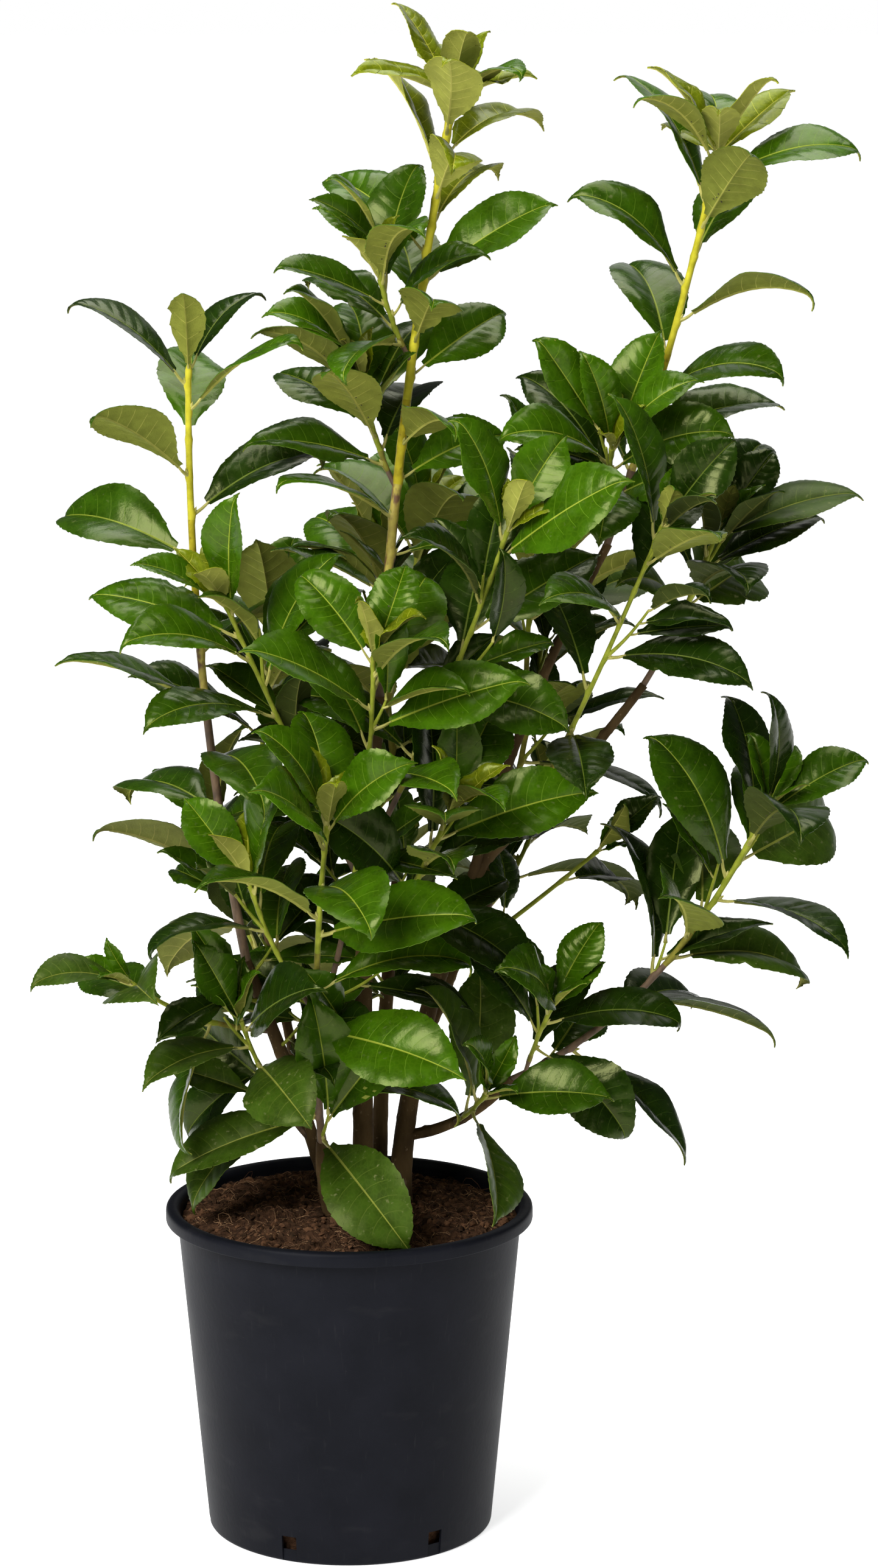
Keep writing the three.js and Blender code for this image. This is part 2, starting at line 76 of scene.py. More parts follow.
# The growth rule's sizes, as in the part's source, and the way that leaves turn to the light
LEAF = Sizes(stalk=14, rib_power=1.5, rib_steps=12, half_width=[0.235, 0.285], fold=[8, 22], arch=[22, 74],
             base_lean=56, lean_power=0.55, tip_length=0.7, growth_rate=5, spacing=1.45, top=0.996)
SHADE = Sizes(height=900, sag=0.62, outward=0.8)
JITTER = Sizes(turn=14, lean=9, roll=30, length=0.1)
TRIES = [0, 28, -28, 56, -56]
GOLDEN_TURN = 137.5
DICE = Sizes(spread=2654435761, times=1664525, plus=1013904223, faces=2 ** 32)
LIGHT = (0, -0.6, 0.8)
LEADER_LIGHT = (0, -0.2, 0.3)


@dataclass
class Limb:
    """Bare wood: a stem has a base on the compost, and a bough leaves another limb at a share of it."""

    name: str
    tip: list
    bow: list
    radii: list
    base: list = None
    on: str = None
    at: float = None


@dataclass
class Shoot:
    """A leafy shoot on a limb, or on another shoot whose mass it joins.

    Its leaf is the length of a grown one, turn the way that the top leaf points, and bare the share of its
    own length below the lowest leaf. The tints are those of its upper and its lower leaves.
    """

    name: str
    on: str
    at: float
    tip: list
    bow: list
    leaves: int
    leaf: float
    turn: float
    bare: float
    radii: list
    tints: list
    lift: float = 0.9
    light: tuple = LIGHT
    spread: float = 18
    wood: float = 0.2
    tips: int = None
    bowed: tuple = ()

    @property
    def mass(self):
        return self.on if self.on.startswith("mass") else self.name

    @property
    def leader(self):
        return self.name in LEADERS


LIMBS = [
    Limb("trunk_middle", [24, 4, 650], [-12, 0, 0], [8.5, 4.6], base=[12, 4]),
    Limb("stem_left", [-78, -15, 449], [8, 0, -12], [6.2, 4.4], base=[-12, 12]),
    Limb("stem_front", [-20, -34, 312], [-6, 0, 0], [5.6, 4.4], base=[-12, -20]),
    Limb("stem_right", [107, 42, 524], [-30, -4, 0], [8.5, 5.2], base=[38, 10]),
    Limb("stem_back", [40, 112, 520], [-8, -20, 0], [6.5, 4.2], base=[22, 40]),
    Limb("bough_right", [227, 60, 650], [6, 0, -8], [4.4, 3.4], on="stem_right", at=0.97),
    Limb("bough_right_leader", [198, 35, 762], [-14, 0, 14], [4, 3.2], on="stem_right", at=0.84),
    Limb("bough_low_right", [125, 5, 352], [10, 0, -16], [4.6, 3.8], on="stem_right", at=0.2),
    Limb("bough_left_fork", [-14, -14, 431], [-10, 0, 8], [3.8, 3], on="trunk_middle", at=0.2),
    Limb("bough_back_left", [-72, 92, 480], [0, 14, -10], [4.2, 3.4], on="stem_left", at=0.3),
    Limb("bough_back_right", [124, 130, 530], [0, 14, -16], [4.4, 3.4], on="stem_right", at=0.42),
]

# Shoots on the right, at the back and low in the crown give some or all of their leaves the deep tint, which
# is painted shade
SHOOTS = [
    Shoot("mass_middle_leader", "trunk_middle", 0.985, [80, 0, 1098], [-14, 0, 0], 20, 100, 180, 0.12,
          [4.4, 3.2], ["young", "fresh"], light=LEADER_LIGHT, spread=30, wood=0.21, bowed=[6]),
    Shoot("middle_side_high", "mass_middle_leader", 0.57, [26, -25, 965], [-4, 0, -4], 7, 92, 150, 0.25,
          [2.4, 2], ["fresh", "mid"]),
    Shoot("middle_side_low", "mass_middle_leader", 0.36, [13, 10, 885], [-6, 0, -4], 9, 104, 170, 0.25,
          [2.6, 2], ["fresh", "mid"]),
    Shoot("mass_left_leader", "stem_left", 0.985, [-116, -30, 899], [-24, 0, 0], 12, 116, 45, 0.26,
          [4.2, 2.6], ["mid", "mid"], light=LEADER_LIGHT, spread=34, wood=0.45, tips=1),
    Shoot("mass_left_middle", "trunk_middle", 0.62, [-88, -54, 726], [0, 0, -10], 9, 104, 190, 0.3,
          [3, 2], ["fresh", "mid"]),
    Shoot("mass_left_low", "stem_left", 0.74, [-160, -58, 440], [-12, 0, -14], 4, 100, 200, 0.4, [2.8, 2],
          ["old", "mid"], light=(0, -0.1, 1), lift=0.1),
    Shoot("mass_left_foot", "stem_left", 0.28, [-80, -50, 410], [-10, 0, -8], 6, 104, 250, 0.35, [2.8, 2],
          ["mid", "old"]),
    Shoot("mass_front", "stem_front", 0.97, [-13, -105, 570], [-12, 0, 0], 20, 122, 190, 0.02, [4, 2.3],
          ["fresh", "fresh"], wood=0.45),
    Shoot("front_side", "mass_front", 0.42, [-72, -62, 516], [-8, 0, -8], 6, 106, 170, 0.35, [2.4, 2],
          ["fresh", "mid"]),
    Shoot("mass_front_centre", "bough_left_fork", 0.97, [21, -92, 694], [16, 0, 0], 13, 106, 20, 0.25,
          [2.9, 2], ["fresh", "fresh"]),
    Shoot("mass_centre_right", "trunk_middle", 0.7, [119, -75, 784], [12, 0, 0], 10, 106, 40, 0.3, [3, 2],
          ["fresh", "mid"]),
    Shoot("mass_front_low", "trunk_middle", 0.5, [76, -78, 574], [4, 0, -12], 10, 112, 300, 0.3, [3, 2],
          ["fresh", "deep"]),
    Shoot("mass_right_inner", "bough_right", 0.24, [232, -80, 788], [0, -16, -10], 8, 106, 20, 0.35,
          [2.9, 2], ["mid", "deep"]),
    Shoot("mass_right_leader", "bough_right_leader", 0.98, [277, 20, 1056], [10, 0, 0], 12, 112, 90, 0.2,
          [3.2, 2.8], ["fresh", "mid"], light=LEADER_LIGHT, spread=34),
    Shoot("right_side", "mass_right_leader", 0.1, [198, -8, 838], [-6, 0, 0], 8, 98, 150, 0.25, [2.3, 2],
          ["fresh", "mid"], light=LEADER_LIGHT),
    Shoot("mass_right_bough", "bough_right", 0.98, [282, 52, 772], [6, 0, -6], 10, 102, 45, 0.45,
          [3.2, 2], ["deep", "deep"]),
    Shoot("mass_low_right", "bough_low_right", 0.98, [317, -10, 565], [22, 0, -53], 16, 116, 225, 0.12,
          [3.6, 2.6], ["deep", "deep"], lift=0.7, wood=0.55, bowed=[3]),
    Shoot("low_right_side", "mass_low_right", 0.05, [154, -34, 416], [-4, 0, -4], 6, 96, 90, 0.25,
          [2.3, 2], ["mid", "deep"]),
    Shoot("mass_right_foot", "bough_low_right", 0.4, [104, -40, 350], [0, -6, -4], 5, 100, 220, 0.4,
          [2.4, 2], ["mid", "old"]),
    Shoot("mass_right_middle", "stem_right", 0.66, [192, 74, 516], [0, 0, -4], 3, 80, 300, 0.4, [2.8, 2],
          ["deep", "deep"]),
    Shoot("mass_back_top", "trunk_middle", 0.86, [58, 104, 775], [0, 14, -12], 11, 108, 90, 0.2, [3, 2],
          ["fresh", "mid"]),
    Shoot("mass_back_left", "bough_back_left", 0.98, [-60, 116, 675], [-10, 16, 0], 12, 108, 100, 0.1,
          [3.2, 2], ["mid", "deep"]),
    Shoot("mass_back_left_low", "bough_back_left", 0.6, [-112, 150, 520], [-6, 10, -16], 7, 106, 160, 0.3,
          [2.9, 2], ["mid", "old"]),
    Shoot("mass_back", "stem_back", 0.98, [24, 176, 740], [-6, 14, 0], 13, 108, 80, 0.12, [3.8, 2],
          ["fresh", "mid"]),
    Shoot("mass_back_low", "stem_back", 0.6, [-8, 214, 530], [0, 10, -18], 9, 106, 110, 0.3, [3, 2],
          ["mid", "old"]),
    Shoot("mass_back_right", "bough_back_right", 0.98, [162, 178, 740], [6, 10, 0], 12, 108, 60, 0.12,
          [3.2, 2], ["mid", "deep"]),
    Shoot("mass_back_right_low", "bough_back_right", 0.6, [150, 190, 530], [10, 10, -18], 7, 106, 30, 0.3,
          [2.9, 2], ["mid", "deep"]),
    Shoot("mass_right_back", "bough_right_leader", 0.5, [148, 128, 780], [-6, 14, -8], 10, 106, 100, 0.25,
          [2.9, 2], ["fresh", "mid"]),
]
# A leader's leaves are slimmer, and these shoots' leaf axils carry no finer twigs
LEADERS = ["mass_middle_leader", "mass_right_leader", "mass_left_leader"]
LEADER_SLIM = 0.94
PLAIN_SHOOTS = [*LEADERS, "mass_left_low"]
# A leaf is there when its tip is a corner of the mass's solid; those that a shoot calls bowed arch over more
SAME_TIP = 0.25
BOWED = 75

# Leaf colours by tint: upper side, vein, rib, underside and the rib underneath
TINTS = {
    "young": [(0.1, 0.13, 0.002), (0.26, 0.28, 0.016), (0.42, 0.4, 0.05),
              (0.26, 0.27, 0.05), (0.4, 0.38, 0.09)],
    "fresh": [(0.027, 0.074, 0.001), (0.064, 0.132, 0.004), (0.22, 0.27, 0.024),
              (0.17, 0.185, 0.03), (0.3, 0.29, 0.06)],
    "mid": [(0.017, 0.047, 0.001), (0.041, 0.086, 0.003), (0.165, 0.205, 0.02),
            (0.135, 0.152, 0.025), (0.24, 0.24, 0.05)],
    # deep is painted shade: colours of leaves in the shade on the right, at the back and low in the crown,
    # darkened for it, the undersides most of all
    "deep": [(0.007, 0.02, 0.001), (0.018, 0.04, 0.002), (0.09, 0.125, 0.014),
             (0.042, 0.055, 0.012), (0.1, 0.105, 0.025)],
    "old": [(0.024, 0.05, 0.003), (0.058, 0.088, 0.01), (0.17, 0.19, 0.03),
            (0.12, 0.13, 0.03), (0.2, 0.19, 0.05)],
}
UPPER, VEIN, RIB, UNDER, UNDER_RIB = range(5)
TINT_ORDER = list(TINTS)
# The next darker tint to each, which most sprig leaves inside the crown take as painted shade
PAINTED_SHADE_TINT = {"young": "fresh", "fresh": "mid", "mid": "deep", "deep": "deep", "old": "mid"}
# So many of a shoot's leaves, counted from its tip, are upper ones, and all below this height are old
UPPER_LEAVES = 0.4
OLD_BELOW = 345
# Grey scuffs and brown blemishes on the upper sides, how strong they are on each tint, and its roughness
SCUFF = (0.15, 0.16, 0.06)
BLEMISH = (0.06, 0.04, 0.012)
SCUFFED = {"young": 0.12, "fresh": 0.3, "mid": 0.4, "deep": 0.25, "old": 0.75}
GLOSS = {
    "young": (0.18, 0.32), "fresh": (0.15, 0.3), "mid": (0.15, 0.3), "deep": (0.15, 0.3), "old": (0.3, 0.45),
}
# So many leaves of one tint are joined into a piece
LEAVES_PER_PIECE = 84
# What is added to a leaf's or bud's number for its own dice, and the dice of other pieces
SEEDS = Sizes(blade=7, glands=13, sprig=31, tip_leaf=50000, sprig_leaf=60000, limb_sprig=3000000, bark=100,
              fibres=21, crumbs=22)


def unit(vector):
    return vector / np.linalg.norm(vector)


def lerp(low, high, share):
    return low + (high - low) * share


def smooth(share):
    held = np.clip(share, 0, 1)
    return held * held * (3 - 2 * held)


def circle(sides):
    """The angles of so many points round a ring."""
    return 2 * math.pi * np.arange(sides) / sides


def splay(axis, turn, lean):
    """The direction that leans away from an axis, turned about it from +X, and the way that it leans."""
    first = unit(np.array([1, 0, 0]) - axis[0] * axis)
    second = np.cross(axis, first)
    turn, lean = math.radians(turn), math.radians(lean)
    outward = first * math.cos(turn) + second * math.sin(turn)
    return axis * math.cos(lean) + outward * math.sin(lean), outward


class Path:
    """The curve of a limb or shoot: a quadratic Bezier from its start to its tip."""

    STEP = 1e-4
    POINTS = 33

    def __init__(self, start, tip, bow):
        self.start = np.array(start, float)
        self.tip = np.array(tip, float)
        self.control = (self.start + self.tip) / 2 + np.array(bow, float)

    def point(self, share):
        share = np.asarray(share, float)[..., None]
        return (1 - share) ** 2 * self.start + 2 * share * (1 - share) * self.control + share ** 2 * self.tip

    def tangent(self, share):
        return unit(self.point(min(1, share + self.STEP)) - self.point(max(0, share - self.STEP)))

    def length(self):
        points = self.point(np.linspace(0, 1, self.POINTS))
        return float(np.linalg.norm(np.diff(points, axis=0), axis=1).sum())


class Lattice:
    """Smooth seeded noise from -1 to 1 over a lattice that repeats after its last cell."""

    def __init__(self, seed, cells_u, cells_v):
        self.cells_u = cells_u
        self.cells_v = cells_v
        self.grid = np.random.default_rng(seed).uniform(-1, 1, (cells_u, cells_v))

    def __call__(self, u, v):
        x = u * self.cells_u
        y = v * self.cells_v
        column = np.floor(x).astype(int)
        row = np.floor(y).astype(int)
        left, right = column % self.cells_u, (column + 1) % self.cells_u
        lines = [row % self.cells_v, (row + 1) % self.cells_v]
        beside = smooth(x - column)
        low, high = (lerp(self.grid[left, line], self.grid[right, line], beside) for line in lines)
        return lerp(low, high, smooth(y - row))


class Pile:
    """Points and faces of many small shapes that become one joined mesh."""

    GUTTER = 0.06
    SHARP = math.radians(50)

    def __init__(self):
        self.points = []
        self.faces = []
        self.paints = []
        self.corners = []
        self.size = 0
        self.cells = 0

    def add(self, points):
        """Takes a shape's points and returns the number of the first."""
        self.points.append(np.asarray(points, float).reshape(-1, 3))
        first = self.size
        self.size += len(self.points[-1])
        return first

    def skin(self, faces, corners, paints=0, own_cell=True):
        """Takes faces of one kind, with each corner's place in the shape's own square of the bake."""
        if own_cell:
            self.cells += 1
        self.faces.append(faces)
        self.paints.append(np.broadcast_to(paints, len(faces)))
        self.corners.append((self.cells - 1, corners))

    def build(self, name, materials, nodes=()):
        mesh = bpy.data.meshes.new(name)
        points = np.concatenate(self.points) * MM
        faces = [face for block in self.faces for face in block.tolist()]
        mesh.from_pydata(points.tolist(), [], faces)
        for material in materials:
            mesh.materials.append(material)
        mesh.polygons.foreach_set("material_index", np.concatenate(self.paints).astype(np.int32))
        side = math.ceil(math.sqrt(self.cells))
        placed = []
        for cell, corners in self.corners:
            inside = self.GUTTER + (1 - 2 * self.GUTTER) * corners.reshape(-1, 2)
            placed.append((inside + [cell % side, cell // side]) / side)
        layer = mesh.uv_layers.new(name="OFBake")
        layer.data.foreach_set("uv", np.concatenate(placed).astype(np.float32).ravel())
        mesh.shade_smooth()
        mesh.set_sharp_from_angle(angle=self.SHARP)
        thing = put(name, mesh)
        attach(thing, BODY)
        if nodes:
            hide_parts(*nodes)
        return thing


def put(name, data):
    """An object in the scene."""
    thing = bpy.data.objects.new(name, data)
    bpy.context.scene.collection.objects.link(thing)
    return thing


def grid_faces(rows, columns, first, closed=False):
    """Quads over a grid of points; each goes along its row first, then up to the next."""
    across = columns if closed else columns - 1
    row, column = np.meshgrid(np.arange(rows - 1), np.arange(across), indexing="ij")
    following = (column + 1) % columns
    low = first + row * columns
    high = low + columns
    return np.stack([low + column, low + following, high + following, high + column], -1).reshape(-1, 4)


def grid_corners(rows, columns):
    """The bake places of a grid's faces, over the whole square, for columns and rows of cells."""
    row, column = np.meshgrid(np.arange(rows - 1), np.arange(columns - 1), indexing="ij")
    steps = [(0, 0), (1, 0), (1, 1), (0, 1)]
    places = [np.stack([(column + u) / (columns - 1), (row + v) / (rows - 1)], -1) for u, v in steps]
    return np.stack(places, 2).reshape(-1, 4, 2)


def close_ring(pile, rim, sides, hub, corner, turned, paint=0):
    """Closes a ring of points with a fan of triangles that meet at its hub."""
    around = rim + np.arange(sides)
    following = np.roll(around, -1)
    ends = [following, around] if turned else [around, following]
    fan = np.stack([*ends, np.full(sides, pile.add(hub))], -1)
    pile.skin(fan, np.full((sides, 3, 2), corner), paint, own_cell=False)


def tube(pile, centres, radii, sides, paints=0):
    """A closed tube through its centres; radii may differ round each ring, and paints along it."""
    centres = np.asarray(centres, float)
    rings = len(centres)
    radii = np.broadcast_to(np.asarray(radii, float).reshape(rings, -1), (rings, sides))
    tangents = np.gradient(centres, axis=0)
    tangents /= np.linalg.norm(tangents, axis=1, keepdims=True)
    guide = np.eye(3)[np.argmin(np.abs(tangents.mean(0)))]
    firsts = guide - (tangents @ guide)[:, None] * tangents
    firsts /= np.linalg.norm(firsts, axis=1, keepdims=True)
    seconds = np.cross(tangents, firsts)
    angles = circle(sides)[None, :, None]
    rays = firsts[:, None] * np.cos(angles) + seconds[:, None] * np.sin(angles)
    first = pile.add(centres[:, None] + rays * radii[..., None])
    paints = np.broadcast_to(paints, rings - 1)
    faces = grid_faces(rings, sides, first, closed=True)
    pile.skin(faces, grid_corners(rings, sides + 1), np.repeat(paints, sides))
    close_ring(pile, first, sides, centres[0], 0, True, paints[0])
    close_ring(pile, first + (rings - 1) * sides, sides, centres[-1], 1, False, paints[-1])


def lathe(pile, profile, sides):
    """A turned skin from a profile that starts and ends beside the axis."""
    profile = np.asarray(profile, float)
    angles = circle(sides)
    rings = np.stack([
        profile[:, :1] * np.cos(angles),
        profile[:, :1] * np.sin(angles),
        np.repeat(profile[:, 1:], sides, axis=1),
    ], -1)
    first = pile.add(rings)
    rows = len(profile)
    pile.skin(grid_faces(rows, sides, first, closed=True), grid_corners(rows, sides + 1))


def close_axis(pile, sides, rows):
    """Closes the two small rings that a turned skin leaves round its axis."""
    points = pile.points[0]
    for ring, turned in ((0, True), (rows - 1, False)):
        hub = points[ring * sides:(ring + 1) * sides].mean(0)
        close_ring(pile, ring * sides, sides, hub, 0.5, turned)


def feed(tree, target, **inputs):
    """Sets a shader node's inputs to constants, or links them to the outputs of other nodes."""
    for name, value in inputs.items():
        socket = target.inputs[name.replace("_", " ")]
        if isinstance(value, bpy.types.NodeSocket):
            tree.links.new(value, socket)
        else:
            socket.default_value = value


def node(tree, kind, **inputs):
    """A new shader node with its inputs."""
    made = tree.nodes.new(f"ShaderNode{kind}")
    feed(tree, made, **inputs)
    return made


def graded(tree, share, places, colours):
    """A colour that goes from one to another as a share goes between two places."""
    ramp = node(tree, "ValToRGB", Fac=share)
    for stop, place, colour in zip(ramp.color_ramp.elements, places, colours):
        stop.position = place
        stop.color = (*colour, 1)
    return ramp.outputs["Color"]


def overlaid(tree, colour, mark, amount):
    """A colour with another one over it, by an amount."""
    mix = tree.nodes.new("ShaderNodeMix")
    mix.data_type = "RGBA"
    feed(tree, mix, Factor=amount.outputs["Result"], A=colour, B=(*mark, 1))
    return mix.outputs["Result"]


def cloudy(tree, stretch, scale, detail):
    """A noise over the object's own space, and the stretched space itself."""
    own = node(tree, "TexCoord").outputs["Object"]
    place = node(tree, "Mapping", Vector=own, Scale=stretch).outputs["Vector"]
    return node(tree, "TexNoise", Vector=place, Scale=scale, Detail=detail).outputs["Fac"], place


# How sharply blots end, how wide a net's lines are, the noises' detail and the drift between two colours
BLOT_EDGE = 0.12
NET_LINE = 0.16
DETAIL = Sizes(drift=4, blots=5, relief=3)
DRIFT = (0.32, 0.68)
PLAIN = (1, 1, 1)


def blots(tree, colour, mark, scale, start, strength, stretch=PLAIN):
    """Lays blots of another colour over a colour, where a noise is above its start."""
    noise, _ = cloudy(tree, stretch, scale, DETAIL.blots)
    amount = node(tree, "MapRange", Value=noise, From_Min=start, From_Max=start + BLOT_EDGE, To_Max=strength)
    return overlaid(tree, colour, mark, amount)


def netted(tree, colour, line, scale, strength):
    """Draws a net of fine lines over a colour."""
    cells = tree.nodes.new("ShaderNodeTexVoronoi")
    cells.feature = "DISTANCE_TO_EDGE"
    feed(tree, cells, Vector=node(tree, "TexCoord").outputs["Object"], Scale=scale)
    distance = cells.outputs["Distance"]
    amount = node(tree, "MapRange", Value=distance, From_Max=NET_LINE, To_Min=strength, To_Max=0)
    return overlaid(tree, colour, line, amount)


def paint(name, colours, scale, rough, relief=None, stretch=PLAIN, detail=DETAIL.drift, marks=(), net=None,
          **sockets):
    """A material that drifts between two colours and two roughnesses; a relief has a depth and a scale."""
    made = bpy.data.materials.new(name)
    made.use_nodes = True
    tree = made.node_tree
    shader = tree.nodes["Principled BSDF"]
    drift, place = cloudy(tree, stretch, scale, detail)
    colour = graded(tree, drift, DRIFT, colours)
    if net:
        colour = netted(tree, colour, **net)
    for mark in marks:
        colour = blots(tree, colour, **mark)
    gloss = node(tree, "MapRange", Value=drift, To_Min=rough[0], To_Max=rough[1])
    feed(tree, shader, Base_Color=colour, Roughness=gloss.outputs["Result"], **sockets)
    if relief:
        depth, fine = relief
        grain = node(tree, "TexNoise", Vector=place, Scale=fine, Detail=DETAIL.relief)
        bump = node(tree, "Bump", Height=grain.outputs["Fac"], Strength=1, Distance=depth * MM)
        feed(tree, shader, Normal=bump.outputs["Normal"])
    return made


def shades(colour, dark, light):
    """A colour made darker and lighter."""
    return [tuple(part * factor for part in colour) for factor in (dark, light)]


def leaf_paints(tint):
    """The five materials of one tint: upper side, vein, rib, underside and the rib underneath."""
    upper, vein, rib, under, under_rib = TINTS[tint]
    glossy = {"Specular_IOR_Level": 0.16 if tint == "old" else 0.27, "Specular_Tint": (0.95, 1, 0.42, 1)}
    dull = {"Specular_IOR_Level": 0.04, "Specular_Tint": (0.9, 1, 0.2, 1)}
    marks = [
        {"mark": SCUFF, "scale": 210, "start": 0.63, "strength": SCUFFED[tint]},
        {"mark": BLEMISH, "scale": 120, "start": 0.7, "strength": 0.8 * SCUFFED[tint]},
    ]
    net = {"line": vein, "scale": 230, "strength": 0.2}
    return [
        paint(f"{tint}_upper", shades(upper, 0.7, 1.28), scale=70, rough=GLOSS[tint], relief=(0.12, 420),
              net=net, marks=marks, **glossy),
        paint(f"{tint}_vein", shades(vein, 0.85, 1.15), scale=90, rough=(0.34, 0.48), relief=(0.1, 500),
              **glossy),
        paint(f"{tint}_rib", shades(rib, 0.85, 1.12), scale=90, rough=(0.38, 0.5), relief=(0.08, 500),
              **glossy),
        paint(f"{tint}_under", shades(under, 0.86, 1.1), scale=120, rough=(0.55, 0.7), relief=(0.3, 700),
              **dull),
        paint(f"{tint}_under_rib", shades(under_rib, 0.86, 1.1), scale=120, rough=(0.5, 0.62),
              relief=(0.1, 600), **dull),
    ]


def dice_for(seed):
    """The source's seeded dice: each call gives the next share from 0 to 1."""
    state = seed * DICE.spread % DICE.faces

    def roll():
        nonlocal state
        state = (state * DICE.times + DICE.plus) % DICE.faces
        return state / DICE.faces

    return roll


def grow_paths():
    """The curve of every limb and shoot, by name."""
    paths = {}
    for limb in LIMBS:
        start = paths[limb.on].point(limb.at) if limb.on else [*limb.base, COMPOST.level + CLEAR]
        paths[limb.name] = Path(start, limb.tip, limb.bow)
    for shoot in SHOOTS:
        paths[shoot.name] = Path(paths[shoot.on].point(shoot.at), shoot.tip, shoot.bow)
    return paths


def leaf_pose(shoot, number, path, index, attempt):
    """Where one leaf of a shoot stands and how it lies, by the source's rule; index 0 is the top leaf."""
    dice = dice_for(number * 1000 + index * 10 + attempt)

    def jitter(size):
        return (2 * dice() - 1) * size

    age = index / max(1, shoot.leaves - 1)
    place = LEAF.top - (LEAF.top - shoot.bare) * age ** LEAF.spacing
    root = path.point(place)
    tangent = path.tangent(place)
    shade = max(0, 1 - root[2] / SHADE.height)
    turn = shoot.turn + GOLDEN_TURN * index + jitter(JITTER.turn) + TRIES[attempt]
    lean = lerp(shoot.spread, LEAF.base_lean, age ** LEAF.lean_power) + jitter(JITTER.lean)
    along, _ = splay(tangent, turn, lean)
    along[2] += shoot.lift * (1 - tangent[2]) - SHADE.sag * shade * (dice() + age)
    along = unit(along)
    facing = tangent + shoot.light + unit(root * [1, 1, 0]) * SHADE.outward * shade
    normal = unit(facing - facing.dot(along) * along)
    roll = math.radians(jitter(JITTER.roll))
    normal = normal * math.cos(roll) + np.cross(along, normal) * math.sin(roll)
    grown = lerp(LEAF.tip_length, 1, min(1, age * LEAF.growth_rate))
    return Sizes(
        shoot=shoot, small=False, stalk=LEAF.stalk, place=place, age=age,
        root=root, tangent=tangent, along=along, normal=normal,
        length=shoot.leaf * grown * (1 + jitter(JITTER.length)),
        arch=math.radians(lerp(*LEAF.arch, dice())),
        fold=math.radians(lerp(*LEAF.fold, dice())),
        width=lerp(*LEAF.half_width, dice()),
    )


def leaf_tip(pose):
    """The end of the source's midrib, which bends over more and more towards its tip."""
    bends = pose.arch * ((np.arange(LEAF.rib_steps) + 0.5) / LEAF.rib_steps) ** LEAF.rib_power
    foot = pose.root + pose.along * pose.stalk
    run = np.cos(bends).sum() * pose.length / LEAF.rib_steps
    drop = np.sin(bends).sum() * pose.length / LEAF.rib_steps
    return foot + pose.along * run - pose.normal * drop


def grow_leaves(paths):
    """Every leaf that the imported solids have, each with its own number and its tint."""
    leaves = []
    for order, shoot in enumerate(SHOOTS, 1):
        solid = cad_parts[shoot.mass]
        corners = np.array([vertex.co for vertex in solid.data.vertices]) / MM
        for index in range(shoot.leaves):
            for attempt in range(len(TRIES)):
                pose = leaf_pose(shoot, order, paths[shoot.name], index, attempt)
                if np.linalg.norm(corners - leaf_tip(pose), axis=1).min() < SAME_TIP:
                    pose.seed = order * 1000 + index
                    pose.tint = tint_of(pose)
                    pose.arch += math.radians(BOWED) * (index in shoot.bowed)
                    pose.width *= LEADER_SLIM if shoot.leader else 1
                    leaves.append(pose)
                    break
    return leaves


def tint_of(pose):
    """The shoot's own tint, or now and then the next one to it, and the oldest tint low down."""
    if pose.root[2] < OLD_BELOW:
        return "old"
    rng = np.random.default_rng(pose.seed)
    order = TINT_ORDER.index(pose.shoot.tints[0 if pose.age < UPPER_LEAVES else 1])
    drift = rng.choice([-1, 0, 0, 0, 0, 1])
    return TINT_ORDER[int(np.clip(order + drift, 1 if order else 0, len(TINT_ORDER) - 1))]


# The blade's mesh: rows of points that follow its side veins, each vein a thin strip between two rows
BLADE = Sizes(
    veins=9, small_veins=5, first_vein=0.1, last_vein=0.9, forward=0.5, curve=1.4, ends=[0.006, 0.998],
    columns=np.array([0, 0.2, 0.44, 0.68, 0.88, 1]), small_columns=np.array([0, 0.3, 0.7, 1]),
    vein_half=0.34, vein_taper=0.8, vein_reach=0.72, vein_depth=0.15, usual=110, thickness=0.42,
    rib_half=[0.95, 0.25], rib_depth=[1.5, 0.3], groove=0.35, oval=0.935, point=[0.17, 0.13], least=0.1,
    tooth=1.1, toothed=0.97, bite=[4.5, 3.5], bite_taper=6, fold_rise=1.35, fold_flat=0.6, fold_narrow=0.8,
    swell=2.6, dent_size=12, dent_from=4, hook_from=0.78, hook_over=0.22, rib_points=121,
)
# The ranges of what sets one blade apart from the next, in the order of its dice
TRAITS = {
    "twist": [-26, 26], "sweep": [-0.06, 0.06], "hook": [15, 60], "far_hook": [60, 96], "hooked": [0, 1],
    "wave": [0.2, 2.6], "curl": [-0.12, 0.1], "phase": [0, 1], "other_phase": [0, 1], "waves": [1.2, 2.4],
    "widest": [1.05, 1.3], "roundness": [0.68, 0.96], "bulge": [0.2, 0.8], "dent": [0.3, 0.9],
    "dent_u": [0, 1], "dent_v": [0, 1], "bitten": [0, 1],
}
# The share of the tips that hook only a little, the share of the edges that are bitten, and where
LITTLE_HOOKED = 0.68
BITTEN = 0.25
BITE_PLACE = [0.2, 0.92]
UNBITTEN = -1
DENTS = Lattice(41, 64, 64)


def blade_rows(veins):
    """For each row its start on the rib, its side of a vein, its rise between veins and its tooth."""
    # Two rows at the foot, two at each vein with two more up to the next, and two at the tip
    rows = [(0.012, 0, 0, 0), (0.05, 0, 0.2, 0)]
    places = np.linspace(BLADE.first_vein, BLADE.last_vein, veins)
    gap = places[1] - places[0]
    for place in places:
        rows += [(place, -1, 0, 0), (place, 1, 0, 1)]
        rows += [(place + gap / 3, 0, 0.87, 0.15), (place + gap * 2 / 3, 0, 0.87, 0.85)]
    last = rows[-1][0]
    rows += [(lerp(last, 1, 0.55), 0, 0.2, 0), (0.996, 0, 0, 0)]
    return np.array(rows).T


